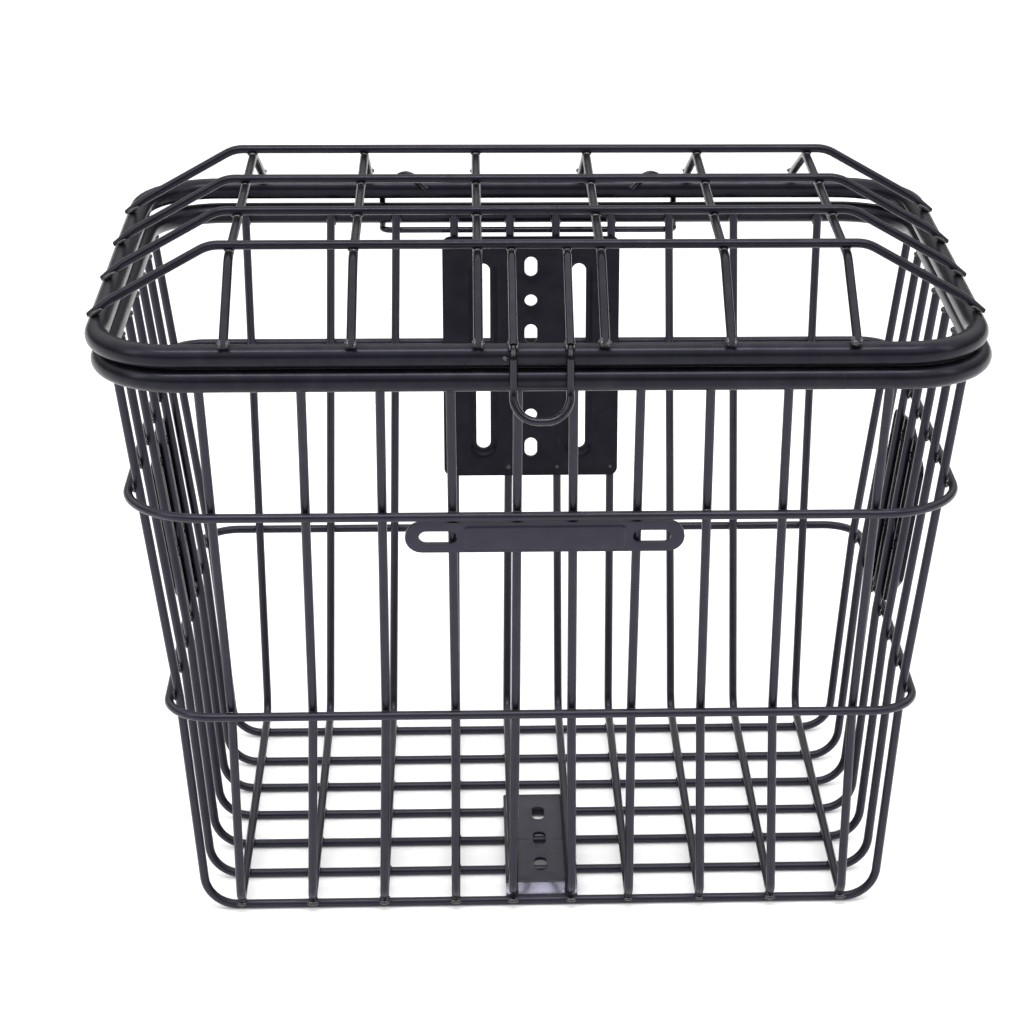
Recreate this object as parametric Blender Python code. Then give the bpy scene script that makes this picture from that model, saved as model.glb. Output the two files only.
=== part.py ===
"""Wire bicycle basket with a hinged, domed wire lid and a wire latch.

Units are metres. +X runs across the basket, -Y is its front, +Z is up. The origin is at the underside
of the floor wires, below the middle of the rims.
"""

import math

import bmesh
import bpy
from mathutils import Matrix, Vector

# Stock
WIRE = 0.004  # walls, floor, rings and lid
RIM_TUBE = 0.010
HINGE_WIRE = 0.003
LATCH_WIRE = 0.0035
SHEET = 0.002  # front, rear and side plates
FLOOR_SHEET = 0.0015

# Fits
GAP = 0.0003  # air between pieces that touch or are welded
HOOK_PLAY = 0.00035  # air round the lid's tube inside the hinge hooks
LATCH_PLAY = 0.0006  # air between the latch loop and the rims

# Basket, over the outside of the rim tube
OVERALL_WIDTH = 0.380
OVERALL_DEPTH = 0.265
BASKET_HEIGHT = 0.2764
RIM_CORNER = 0.035
FLOOR_INSET_X = 0.0324  # floor edge inside the rim's centre line, each side
KINK_INSET_X = 0.0237  # side wall at the lower ring
SIDE_TOP_INSET = 0.0015
FOOT_INSET_Y = 0.0442  # front foot inside the rim's centre line
KINK_INSET_Y = 0.0320  # front wall at the lower ring
UPPER_RING_DROP = 0.0656  # below the rim's centre
RING_SPACING = 0.0992

# Cross wires: floor and both sides
CROSS_WIRES = 7
CROSS_BEND = 0.015
FIRST_CROSS_INSET = 0.0063  # behind the front foot
LAST_CROSS_INSET = 0.015  # in front of the rear wall
LAST_CROSS_STEP = 0.0341

# Long wires: front wall, floor and rear wall; shares run from the centre pair to the outer pair
FOOT_SHARES = (0.097, 0.288, 0.526, 0.764, 1.0)
RIM_SHARES = (0.080, 0.275, 0.477, 0.704, 1.0)
OUTER_FOOT_INSET = 0.0157  # inside the floor edge
OUTER_FRONT_INSET = 0.0411  # inside the rim's centre line, at the front rim
OUTER_REAR_INSET = 0.0454
FOOT_BEND = 0.008
REAR_BEND = 0.010
WELD_OVERLAP = 0.001  # a wire runs on this far past its point of contact

# Lid
LID_SHIFT = -0.002  # side play taken up to the left
LID_FRONT_RISE = RIM_TUBE + GAP
LID_REAR_RISE = 0.0123
DOME_RISE = 0.035  # cross wires above the lid rim's centre
SHOULDER_INSET = 0.047
LID_CROSS_WIRES = 4
LID_CROSS_FRONT_INSET = 0.0415
LID_CROSS_REAR_INSET = 0.0581
LID_CROSS_OVERHANG = 0.0015
LID_LONG_WIRES = 6
LID_LONG_INSET = 0.0085  # outer long wires inside the shoulders
LID_FRONT_BEND_INSET = 0.004  # from the last cross wire to the bend
LID_REAR_BEND_INSET = 0.006
LID_BEND = 0.016

# Hinge wire
HINGE_OVERHANG = 0.0049  # bar past the outermost rear wires that it is welded to
HINGE_DROP = 0.0078  # bar below the rim's centre
HINGE_BEND = 0.004
HOOK_OUTER_SHARE = 0.540  # of the way out to the lid's outer long wires
HOOK_INNER_SHARE = 0.385
HOOK_START = math.radians(-20)  # about the lid's tube, from straight behind
HOOK_END = math.radians(170)

# Latch
LATCH_HALF_WIDTH = 0.01165
LATCH_LENGTH = 0.0248
LATCH_STRAIGHT = 0.015
LATCH_FLARE = 0.0045
LATCH_BEND = 0.010
LATCH_TOP = 0.0008

# Front plate
FRONT_PLATE_WIDTH = 0.119
FRONT_PLATE_HEIGHT = 0.0145
FRONT_SLOT_X = 0.0455
FRONT_SLOT = (0.0163, 0.0062)

# Rear mount plate
REAR_PLATE_WIDTH = 0.0868
REAR_PLATE_HEIGHT = 0.124
REAR_PLATE_CORNER = 0.004
REAR_PLATE_DROP = 0.0094  # top edge below the rim's centre
REAR_PLATE_SHIFT = -0.001  # off the middle, to the left
REAR_SLOT_X = 0.0236
REAR_SLOT = (0.0965, 0.007)
REAR_HOLE_WIDTH = 0.0062
REAR_HOLES = ((0.047, 0.0102), (0.0297, REAR_HOLE_WIDTH), (0.0125, 0.010))  # offset from the centre, height

# Floor plate
FLOOR_PLATE_WIDTH = 0.033
FLOOR_PLATE_REAR = 0.0111  # behind the middle cross wire
FLOOR_PLATE_FRONT = 0.010  # flat part ends behind the first cross wire
FLOOR_STEP = 0.0037
FLOOR_HOLE = (0.013, 0.006)
FLOOR_HOLE_PITCH = 0.026
FIRST_FLOOR_HOLE = 0.020  # from the rear edge

# Side plates
SIDE_PLATE_WIDTH = 0.086
SIDE_TOP_MARGIN = 0.0088  # top edge below the upper ring
SIDE_BOTTOM_MARGIN = 0.0054  # bottom edge above the lower ring
SIDE_CROWN = 0.008
SIDE_TAPER_START = 0.26  # share of the plate's height
SIDE_FOOT_WIDTH = 0.028
SIDE_PLATE_CORNER = 0.005
SIDE_SLOT = (0.036, 0.0065)
SIDE_SLOT_X = 0.028
SIDE_SLOT_LEAN = math.radians(58)
SIDE_LOW_SLOT = (0.014, 0.005)
SIDE_LOW_SLOT_HEIGHT = 0.020  # above the bottom edge

# Facets
WIRE_SIDES = 8
TUBE_SIDES = 12
BEND_STEP = math.radians(22.5)
CORNER_STEP = math.radians(15)
HOOK_STEPS = 14

# Derived places
RIM_X = (OVERALL_WIDTH - RIM_TUBE) / 2
RIM_Y = (OVERALL_DEPTH - RIM_TUBE) / 2
RIM_Z = BASKET_HEIGHT - RIM_TUBE / 2
CROSS_Z = WIRE / 2
LONG_Z = CROSS_Z + WIRE + GAP
UPPER_Z = RIM_Z - UPPER_RING_DROP
LOWER_Z = UPPER_Z - RING_SPACING
RIM_REACH = (RIM_TUBE + WIRE) / 2 + GAP
REAR_WALL_Y = RIM_Y - RIM_REACH
FOOT_Y = -(RIM_Y - FOOT_INSET_Y)
KINK_Y = -(RIM_Y - KINK_INSET_Y)
FLOOR_X = RIM_X - FLOOR_INSET_X
KINK_X = RIM_X - KINK_INSET_X
SIDE_TOP_X = RIM_X - SIDE_TOP_INSET
SIDE_LEAN = math.atan2(SIDE_TOP_X - KINK_X, RIM_Z - LOWER_Z)
LID_DEPTH = 2 * RIM_Y
LID_TILT = math.asin((LID_REAR_RISE - LID_FRONT_RISE) / LID_DEPTH)
HINGE_Z = RIM_Z + LID_REAR_RISE
LID_LONG_X = RIM_X - SHOULDER_INSET - LID_LONG_INSET
HINGE_HALF_WIDTH = (RIM_X - OUTER_REAR_INSET) * RIM_SHARES[2] + HINGE_OVERHANG
HOOK_OUTER_X = LID_LONG_X * HOOK_OUTER_SHARE
HOOK_INNER_X = LID_LONG_X * HOOK_INNER_SHARE
LATCH_REACH = (RIM_TUBE + LATCH_WIRE) / 2 + LATCH_PLAY


def clear_scene():
    """Empties the scene."""
    for obj in list(bpy.data.objects):
        bpy.data.objects.remove(obj, do_unlink=True)


def coating(name, colour, roughness, metallic):
    """A plain coated-steel material."""
    material = bpy.data.materials.new(name)
    material.use_nodes = True
    shader = material.node_tree.nodes["Principled BSDF"]
    shader.inputs["Base Color"].default_value = (*colour, 1.0)
    shader.inputs["Roughness"].default_value = roughness
    shader.inputs["Metallic"].default_value = metallic
    return material


def tangent(start, centre, reach, overlap, side):
    """End of a straight run from start that just passes a round section at centre, on the given side."""
    toward = centre - start
    length = math.sqrt(toward.length_squared - reach**2)
    turn = side * math.asin(reach / toward.length)
    direction = Matrix.Rotation(turn, 2) @ toward.normalized()
    return start + direction * (length + overlap)


def arc_at(before, corner, after, radius, step):
    """Points of the rounded corner between two straight runs."""
    inward = (before - corner).normalized()
    outward = (after - corner).normalized()
    turn = math.pi - inward.angle(outward)
    setback = radius * math.tan(turn / 2)
    centre = corner + (inward + outward).normalized() * (radius / math.cos(turn / 2))
    first = corner + inward * setback - centre
    across = (-inward - first * (-inward).dot(first) / first.length_squared).normalized() * radius
    count = max(1, math.ceil(turn / step))
    angles = [turn * k / count for k in range(count + 1)]
    return [centre + first * math.cos(a) + across * math.sin(a) for a in angles]


def rounded(corners, radii, closed=False, step=BEND_STEP):
    """A path through corners, each turned with its own radius; 0 leaves the corner as it is."""
    path = []
    count = len(corners)
    for k, (corner, radius) in enumerate(zip(corners, radii)):
        is_end = not closed and k in (0, count - 1)
        if is_end or radius == 0:
            path.append(corner)
        else:
            path.extend(arc_at(corners[k - 1], corner, corners[(k + 1) % count], radius, step))
    return path


def place(obj, material, parent=None):
    """Links an object, colours it and hangs it on its parent."""
    bpy.context.scene.collection.objects.link(obj)
    obj.data.materials.append(material)
    obj.parent = parent
    return obj


def rod(name, path, diameter, material, parent=None, closed=False, sides=WIRE_SIDES):
    """A round wire or tube along a path, with a flat of its outline turned down."""
    curve = bpy.data.curves.new(name, "CURVE")
    curve.dimensions = "3D"
    curve.twist_mode = "MINIMUM"
    curve.bevel_depth = diameter / 2
    curve.bevel_resolution = (sides - 4) // 2
    curve.use_fill_caps = True
    spline = curve.splines.new("POLY")
    spline.points.add(len(path) - 1)
    for point, place_at in zip(spline.points, path):
        point.co = (*place_at, 1.0)
        point.tilt = math.pi / sides
    spline.use_cyclic_u = closed
    spline.use_smooth = True
    return place(bpy.data.objects.new(name, curve), material, parent)


def sheet(name, outlines, thickness, material):
    """A flat plate in its own XY plane; outlines after the first are holes."""
    curve = bpy.data.curves.new(name, "CURVE")
    curve.dimensions = "2D"
    curve.fill_mode = "BOTH"
    curve.extrude = thickness / 2
    for outline in outlines:
        spline = curve.splines.new("POLY")
        spline.points.add(len(outline) - 1)
        for point, place_at in zip(spline.points, outline):
            point.co = (place_at.x, place_at.y, 0.0, 1.0)
        spline.use_cyclic_u = True
    return place(bpy.data.objects.new(name, curve), material)


def prism(name, outlines, depth):
    """A mesh of closed outlines raised from the XY plane along +Z."""
    mesh = bpy.data.meshes.new(name)
    shape = bmesh.new()
    for outline in outlines:
        base = shape.faces.new([shape.verts.new((p.x, p.y, 0.0)) for p in outline])
        top = bmesh.ops.extrude_face_region(shape, geom=[base])["geom"]
        raised = [part for part in top if isinstance(part, bmesh.types.BMVert)]
        bmesh.ops.translate(shape, verts=raised, vec=(0.0, 0.0, depth))
    bmesh.ops.recalc_face_normals(shape, faces=shape.faces)
    shape.to_mesh(mesh)
    shape.free()
    return mesh


def box_corners(width, height):
    """Corners of a rectangle about the origin, anticlockwise."""
    x = width / 2
    y = height / 2
    return [Vector((-x, -y, 0)), Vector((x, -y, 0)), Vector((x, y, 0)), Vector((-x, y, 0))]


def obround(length, width, x=0.0, y=0.0, lean=0.0):
    """Outline of a slot with round ends, its length turned by lean from X."""
    half = (length - width) / 2
    count = round(math.pi / BEND_STEP)
    angles = [math.pi * (k / count - 0.5) for k in range(count + 1)]
    end = [Vector((half + math.cos(a) * width / 2, math.sin(a) * width / 2, 0)) for a in angles]
    if half < width / 100:
        end = end[:-1]
    turned = Matrix.Translation((x, y, 0)) @ Matrix.Rotation(lean, 4, "Z")
    return [turned @ p for p in end] + [turned @ Vector((-p.x, -p.y, 0)) for p in end]


def rim_path(half_x, half_y):
    """Rounded rectangle of a rim about its own middle."""
    corners = box_corners(2 * half_x, 2 * half_y)
    return rounded(corners, [RIM_CORNER] * 4, closed=True, step=CORNER_STEP)


def front_wall(z):
    """Y of the front wires' centre line above the lower ring."""
    start = Vector((KINK_Y, LOWER_Z))
    end = tangent(start, Vector((-RIM_Y, RIM_Z)), RIM_REACH, 0.0, -1)
    return start.x + (end.x - start.x) * (z - LOWER_Z) / (end.y - start.y)


def side_wall(z):
    """X of the side wires' centre line above the lower ring."""
    return KINK_X + (SIDE_TOP_X - KINK_X) * (z - LOWER_Z) / (RIM_Z - LOWER_Z)


FRONT_LEAN = math.atan2(front_wall(LOWER_Z) - front_wall(RIM_Z), RIM_Z - LOWER_Z)


def cross_wire_places():
    """Y of each cross wire, front to back."""
    first = FOOT_Y + FIRST_CROSS_INSET
    last = REAR_WALL_Y - LAST_CROSS_INSET
    even = CROSS_WIRES - 2
    pitch = (last - LAST_CROSS_STEP - first) / even
    return [first + pitch * k for k in range(even + 1)] + [last]


def make_rims(tube, lid):
    """The basket's rim and the lid's rim."""
    basket = rod("basket_rim", rim_path(RIM_X, RIM_Y), RIM_TUBE, tube, closed=True, sides=TUBE_SIDES)
    basket.location.z = RIM_Z
    lid_rim = rod("lid_rim", rim_path(RIM_X, RIM_Y), RIM_TUBE, tube, lid, closed=True, sides=TUBE_SIDES)
    lid_rim.location.y = -RIM_Y


def make_cross_wires(material):
    """U-shaped wires across the floor and up both sides, to the underside of the rim."""
    top = RIM_Z - RIM_TUBE / 2 - GAP - WIRE / 2 * math.tan(SIDE_LEAN)
    right = [
        Vector((FLOOR_X, 0, CROSS_Z)),
        Vector((KINK_X, 0, LOWER_Z)),
        Vector((side_wall(top), 0, top)),
    ]
    left = [Vector((-p.x, 0, p.z)) for p in reversed(right)]
    path = rounded(left + right, [0, 0, CROSS_BEND, CROSS_BEND, 0, 0])
    for k, y in enumerate(cross_wire_places(), start=1):
        rod(f"cross_wire_{k}", path, WIRE, material).location.y = y


def long_wire_path(foot_share, rim_share, floor_z):
    """Centre line of one long wire on the +X side, from the front rim to the rear rim."""
    foot_x = (FLOOR_X - OUTER_FOOT_INSET) * foot_share
    kink_share = foot_share + (rim_share - foot_share) * LOWER_Z / RIM_Z
    kink_x = (FLOOR_X - OUTER_FOOT_INSET) * kink_share
    kink = Vector((KINK_Y, LOWER_Z))
    front = tangent(kink, Vector((-RIM_Y, RIM_Z)), RIM_REACH, WELD_OVERLAP, -1)
    corners = [
        Vector(((RIM_X - OUTER_FRONT_INSET) * rim_share, front.x, front.y)),
        Vector((kink_x, kink.x, kink.y)),
        Vector((foot_x, FOOT_Y, floor_z)),
        Vector((foot_x, REAR_WALL_Y, floor_z)),
        Vector(((RIM_X - OUTER_REAR_INSET) * rim_share, REAR_WALL_Y, RIM_Z + WELD_OVERLAP)),
    ]
    return rounded(corners, [0, 0, FOOT_BEND, REAR_BEND, 0])


def make_long_wires(material):
    """U-shaped wires down the front, along the floor and up the back; the centre pair lies on the floor plate."""
    number = 0
    pairs = list(zip(FOOT_SHARES, RIM_SHARES))
    for side, order in ((-1, reversed(pairs)), (1, pairs)):
        for foot_share, rim_share in order:
            on_plate = foot_share == min(FOOT_SHARES)
            floor_z = LONG_Z + (FLOOR_SHEET + GAP if on_plate else 0.0)
            path = long_wire_path(foot_share, rim_share, floor_z)
            number += 1
            rod(f"long_wire_{number}", [Vector((side * p.x, p.y, p.z)) for p in path], WIRE, material)


def make_ring(name, z, material):
    """A ring round the outside of the wires at one height."""
    reach = WIRE + GAP
    bar_x = side_wall(z) + reach / math.cos(SIDE_LEAN)
    front = front_wall(z) - reach / math.cos(FRONT_LEAN)
    rear = REAR_WALL_Y + reach
    places = cross_wire_places()
    rise = (z - LOWER_Z) / (RIM_Z - LOWER_Z)
    foot_x = FLOOR_X - OUTER_FOOT_INSET
    front_x = foot_x + (RIM_X - OUTER_FRONT_INSET - foot_x) * rise
    rear_x = foot_x + (RIM_X - OUTER_REAR_INSET - foot_x) * z / RIM_Z
    half = WIRE / 2
    front_radius = min(places[0] - half - front, bar_x - front_x - half)
    rear_radius = min(rear - places[-1] - half, bar_x - rear_x - half)
    corners = [
        Vector((-bar_x, front, z)),
        Vector((bar_x, front, z)),
        Vector((bar_x, rear, z)),
        Vector((-bar_x, rear, z)),
    ]
    radii = [front_radius, front_radius, rear_radius, rear_radius]
    rod(name, rounded(corners, radii, closed=True), WIRE, material, closed=True)


def make_front_plate(material):
    """Slotted bar with round ends on the front wall, just under the upper ring."""
    slots = [obround(*FRONT_SLOT, x=side * FRONT_SLOT_X) for side in (-1, 1)]
    outline = obround(FRONT_PLATE_WIDTH, FRONT_PLATE_HEIGHT)
    plate = sheet("front_plate", [outline, *slots], SHEET, material)
    outward = (WIRE + SHEET) / 2 + GAP
    z = UPPER_Z - WIRE / 2 - GAP - FRONT_PLATE_HEIGHT / 2
    plate.rotation_euler.x = math.pi / 2 + FRONT_LEAN
    plate.location.y = front_wall(z) - outward * math.cos(FRONT_LEAN)
    plate.location.z = z - outward * math.sin(FRONT_LEAN)


def make_rear_mount_plate(material):
    """Slotted plate on the inside of the rear wall."""
    corners = box_corners(REAR_PLATE_WIDTH, REAR_PLATE_HEIGHT)
    outline = rounded(corners, [REAR_PLATE_CORNER] * 4, closed=True)
    upright = math.pi / 2
    holes = [obround(*REAR_SLOT, x=side * REAR_SLOT_X, lean=upright) for side in (-1, 1)]
    for offset, height in REAR_HOLES:
        for side in (-1, 1):
            holes.append(obround(height, REAR_HOLE_WIDTH, y=side * offset, lean=upright))
    plate = sheet("rear_mount_plate", [outline, *holes], SHEET, material)
    plate.rotation_euler.x = math.pi / 2
    plate.location.x = REAR_PLATE_SHIFT
    plate.location.y = REAR_WALL_Y - (WIRE + SHEET) / 2 - GAP
    plate.location.z = RIM_Z - REAR_PLATE_DROP - REAR_PLATE_HEIGHT / 2


def make_side_plate(name, side, material):
    """Shield-shaped slotted plate on the outside of one side wall."""
    top = UPPER_Z - SIDE_TOP_MARGIN
    bottom = LOWER_Z + SIDE_BOTTOM_MARGIN
    height = (top - bottom) / math.cos(SIDE_LEAN)
    half = SIDE_PLATE_WIDTH / 2
    foot = SIDE_FOOT_WIDTH / 2
    right = [(foot, 0.0), (half, height * SIDE_TAPER_START), (half, height - SIDE_CROWN)]
    corners = [Vector((x, y, 0)) for x, y in right]
    corners.append(Vector((0, height, 0)))
    corners += [Vector((-x, y, 0)) for x, y in reversed(right)]
    outline = rounded(corners, [SIDE_PLATE_CORNER] * len(corners), closed=True)
    slot_y = height * (1 + SIDE_TAPER_START) / 2 - SIDE_CROWN / 2
    slots = [obround(*SIDE_SLOT, x=s * SIDE_SLOT_X, y=slot_y, lean=s * SIDE_SLOT_LEAN) for s in (-1, 1)]
    slots.append(obround(*SIDE_LOW_SLOT, y=SIDE_LOW_SLOT_HEIGHT))
    plate = sheet(name, [outline, *slots], SHEET, material)
    outward = (WIRE + SHEET) / 2 + GAP
    places = cross_wire_places()
    middle = len(places) // 2
    plate.rotation_euler = (math.pi / 2 + SIDE_LEAN, 0, side * math.pi / 2)
    plate.location = (
        side * (side_wall(bottom) + outward * math.cos(SIDE_LEAN)),
        (places[middle] + places[middle + 1]) / 2,
        bottom - outward * math.sin(SIDE_LEAN),
    )


def make_floor_plate(material):
    """Slotted strip between the cross wires and the centre pair of long wires, stepped down at its front."""
    places = cross_wire_places()
    rear = places[len(places) // 2] + FLOOR_PLATE_REAR
    front = places[0] + FLOOR_PLATE_FRONT
    lip = places[0] + WIRE / 2 + GAP
    low = CROSS_Z + WIRE / 2 + GAP
    upper = [(rear, low + FLOOR_SHEET), (front, low + FLOOR_SHEET)]
    upper += [(front - FLOOR_STEP, low + FLOOR_SHEET - FLOOR_STEP), (lip, low + FLOOR_SHEET - FLOOR_STEP)]
    inset = FLOOR_SHEET * math.tan(math.pi / 8)
    lower = [(lip, low - FLOOR_STEP), (front - FLOOR_STEP + inset, low - FLOOR_STEP)]
    lower += [(front + inset, low), (rear, low)]
    profile = [Vector((y, z, 0)) for y, z in upper + lower]
    plate = bpy.data.objects.new("floor_plate", prism("floor_plate", [profile], FLOOR_PLATE_WIDTH))
    place(plate, material)
    plate.rotation_euler = (math.pi / 2, 0, math.pi / 2)
    plate.location.x = -FLOOR_PLATE_WIDTH / 2
    centres = [rear - FIRST_FLOOR_HOLE - FLOOR_HOLE_PITCH * k for k in range(3)]
    slots = [obround(*FLOOR_HOLE, y=y, lean=math.pi / 2) for y in centres]
    cutter = bpy.data.objects.new("floor_slots", prism("floor_slots", slots, 2 * FLOOR_SHEET))
    bpy.context.scene.collection.objects.link(cutter)
    cutter.location.z = low - FLOOR_SHEET / 2
    cutter.hide_render = True
    cutter.display_type = "WIRE"
    cut = plate.modifiers.new("slots", "BOOLEAN")
    cut.object = cutter
    cut.operation = "DIFFERENCE"
    cut.solver = "EXACT"


def make_hinge_wire(material):
    """Fixed wire under the rear rim whose two hooked ends hold the lid's rear tube."""
    bar_y = REAR_WALL_Y + (WIRE + HINGE_WIRE) / 2 + GAP
    bar_z = RIM_Z - HINGE_DROP
    behind = RIM_Y + (RIM_TUBE + HINGE_WIRE) / 2 + HOOK_PLAY
    hook = (RIM_TUBE + HINGE_WIRE) / 2 + HOOK_PLAY
    corners = [
        Vector((0, bar_y, bar_z)),
        Vector((HINGE_HALF_WIDTH, bar_y, bar_z)),
        Vector((HINGE_HALF_WIDTH, behind, bar_z)),
        Vector((HINGE_HALF_WIDTH, behind, (RIM_Z + HINGE_Z) / 2)),
        Vector((HOOK_OUTER_X, RIM_Y + hook * math.cos(HOOK_START), HINGE_Z + hook * math.sin(HOOK_START))),
    ]
    right = rounded(corners, [0, HINGE_BEND, HINGE_BEND, HINGE_BEND, 0])
    for k in range(1, HOOK_STEPS + 1):
        share = k / HOOK_STEPS
        angle = HOOK_START + (HOOK_END - HOOK_START) * share
        x = HOOK_OUTER_X + (HOOK_INNER_X - HOOK_OUTER_X) * share
        right.append(Vector((x, RIM_Y + hook * math.cos(angle), HINGE_Z + hook * math.sin(angle))))
    left = [Vector((-p.x, p.y, p.z)) for p in reversed(right[1:])]
    rod("hinge_wire", left + right[1:], HINGE_WIRE, material).location.x = LID_SHIFT


def make_lid_cross_wires(material, lid):
    """Wires over the lid from side tube to side tube; returns the places of all of them, front to back."""
    shoulder = Vector((RIM_X - SHOULDER_INSET, DOME_RISE))
    end = tangent(shoulder, Vector((RIM_X, 0)), RIM_REACH, LID_CROSS_OVERHANG, 1)
    right = [Vector((shoulder.x, 0, shoulder.y)), Vector((end.x, 0, end.y))]
    left = [Vector((-p.x, 0, p.z)) for p in reversed(right)]
    path = rounded(left + right, [0, LID_BEND, LID_BEND, 0])
    front = LID_CROSS_FRONT_INSET - LID_DEPTH
    pitch = (LID_DEPTH - LID_CROSS_FRONT_INSET - LID_CROSS_REAR_INSET) / (LID_CROSS_WIRES - 1)
    places = [front + pitch * k for k in range(LID_CROSS_WIRES)]
    for k, y in enumerate(places, start=1):
        rod(f"lid_cross_wire_{k}", path, WIRE, material, lid).location.y = y
    return places


def make_lid_long_wires(places, material, lid):
    """Wires under the lid's cross wires, from the front tube to the rear tube."""
    height = DOME_RISE - WIRE - GAP
    front = Vector((places[0] - LID_FRONT_BEND_INSET, height))
    rear = Vector((places[-1] + LID_REAR_BEND_INSET, height))
    front_end = tangent(front, Vector((-LID_DEPTH, 0)), RIM_REACH, WELD_OVERLAP, -1)
    rear_end = tangent(rear, Vector((0, 0)), RIM_REACH, WELD_OVERLAP, 1)
    corners = [Vector((0, p.x, p.y)) for p in (front_end, front, rear, rear_end)]
    path = rounded(corners, [0, LID_BEND, LID_BEND, 0])
    pitch = 2 * LID_LONG_X / (LID_LONG_WIRES - 1)
    for k in range(LID_LONG_WIRES):
        rod(f"lid_long_wire_{k + 1}", path, WIRE, material, lid).location.x = pitch * k - LID_LONG_X


def make_latch_legs(cross_y, material, lid):
    """Two short wires from under the lid's front cross wire down to its front tube."""
    height = DOME_RISE - (WIRE + LATCH_WIRE) / 2 - GAP
    start = Vector((cross_y + WIRE / 2, height))
    bend = Vector((cross_y - LID_FRONT_BEND_INSET, height))
    reach = (RIM_TUBE + LATCH_WIRE) / 2 + GAP
    end = tangent(bend, Vector((-LID_DEPTH, 0)), reach, WELD_OVERLAP, -1)
    path = [Vector((0, p.x, p.y)) for p in (start, bend, end)]
    for name, side in (("latch_leg_left", -1), ("latch_leg_right", 1)):
        rod(name, path, LATCH_WIRE, material, lid).location.x = side * LATCH_HALF_WIDTH


def make_latch_loop(material, hinge):
    """U-shaped wire that hangs in front of both rims and flares out below the basket's rim."""
    right = [
        Vector((LATCH_HALF_WIDTH, -LATCH_FLARE, -LATCH_LENGTH)),
        Vector((LATCH_HALF_WIDTH, 0, -LATCH_STRAIGHT)),
        Vector((LATCH_HALF_WIDTH, 0, LATCH_TOP)),
    ]
    left = [Vector((-p.x, p.y, p.z)) for p in reversed(right)]
    path = rounded(left + right, [0, 0, LATCH_BEND, LATCH_BEND, 0, 0])
    rod("latch_loop", path, LATCH_WIRE, material, hinge)


def pivot(name, place_at, parent=None):
    """An empty on a joint's axis."""
    empty = bpy.data.objects.new(name, None)
    empty.location = place_at
    empty.parent = parent
    bpy.context.scene.collection.objects.link(empty)
    return empty


def main():
    clear_scene()
    tube_coat = coating("tube_coat", (0.020, 0.021, 0.024), 0.33, 0.0)
    wire_coat = coating("wire_coat", (0.018, 0.019, 0.022), 0.36, 0.0)
    plate_coat = coating("plate_coat", (0.024, 0.025, 0.028), 0.40, 0.0)
    latch_coat = coating("latch_coat", (0.022, 0.023, 0.026), 0.30, 0.0)
    lid = pivot("lid_axis", (LID_SHIFT, RIM_Y, HINGE_Z))
    lid.rotation_euler.x = LID_TILT
    latch = pivot("latch_axis", (0, -LID_DEPTH - LATCH_REACH, 0), lid)
    make_rims(tube_coat, lid)
    make_cross_wires(wire_coat)
    make_long_wires(wire_coat)
    make_ring("upper_ring", UPPER_Z, wire_coat)
    make_ring("lower_ring", LOWER_Z, wire_coat)
    make_front_plate(plate_coat)
    make_rear_mount_plate(plate_coat)
    make_side_plate("side_plate_left", -1, plate_coat)
    make_side_plate("side_plate_right", 1, plate_coat)
    make_floor_plate(plate_coat)
    make_hinge_wire(latch_coat)
    places = make_lid_cross_wires(wire_coat, lid)
    make_lid_long_wires(places, wire_coat, lid)
    make_latch_legs(places[0], latch_coat, lid)
    make_latch_loop(latch_coat, latch)


main()
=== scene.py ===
"""Looks of the wire bicycle basket: smooth bent wires and tubes, pressed plates, weld beads and powder coat.

Units are metres. +X runs across the basket, -Y is its front, +Z is up.
"""

import math
import random

import bmesh
import bpy
from mathutils import Matrix, Vector


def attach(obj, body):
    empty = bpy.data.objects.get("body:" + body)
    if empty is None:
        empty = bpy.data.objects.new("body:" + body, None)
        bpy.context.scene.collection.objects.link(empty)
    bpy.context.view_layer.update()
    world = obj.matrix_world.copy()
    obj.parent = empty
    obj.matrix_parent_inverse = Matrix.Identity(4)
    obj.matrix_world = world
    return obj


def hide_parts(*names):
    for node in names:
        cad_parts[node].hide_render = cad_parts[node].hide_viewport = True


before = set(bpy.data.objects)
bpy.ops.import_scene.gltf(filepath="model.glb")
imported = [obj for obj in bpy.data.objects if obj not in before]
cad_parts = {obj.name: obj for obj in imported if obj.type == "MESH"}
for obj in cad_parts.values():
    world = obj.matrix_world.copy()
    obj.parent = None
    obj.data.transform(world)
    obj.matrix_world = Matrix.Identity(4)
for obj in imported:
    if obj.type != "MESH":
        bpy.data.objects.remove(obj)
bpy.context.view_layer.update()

# Stock
WIRE = 0.004
RIM_TUBE = 0.010
HINGE_WIRE = 0.003
LATCH_WIRE = 0.0035
SHEET = 0.002
FLOOR_SHEET = 0.0015

# Fits
GAP = 0.0003
HOOK_PLAY = 0.00035
LATCH_PLAY = 0.0006

# Basket, over the outside of the rim tube
OVERALL_WIDTH = 0.380
OVERALL_DEPTH = 0.265
BASKET_HEIGHT = 0.2764
RIM_CORNER = 0.035
FLOOR_INSET_X = 0.0324
KINK_INSET_X = 0.0237
SIDE_TOP_INSET = 0.0015
FOOT_INSET_Y = 0.0442
KINK_INSET_Y = 0.0320
UPPER_RING_DROP = 0.0656
RING_SPACING = 0.0992

# Cross wires: floor and both sides
CROSS_WIRES = 7
CROSS_BEND = 0.015
FIRST_CROSS_INSET = 0.0063
LAST_CROSS_INSET = 0.015
LAST_CROSS_STEP = 0.0341

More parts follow.
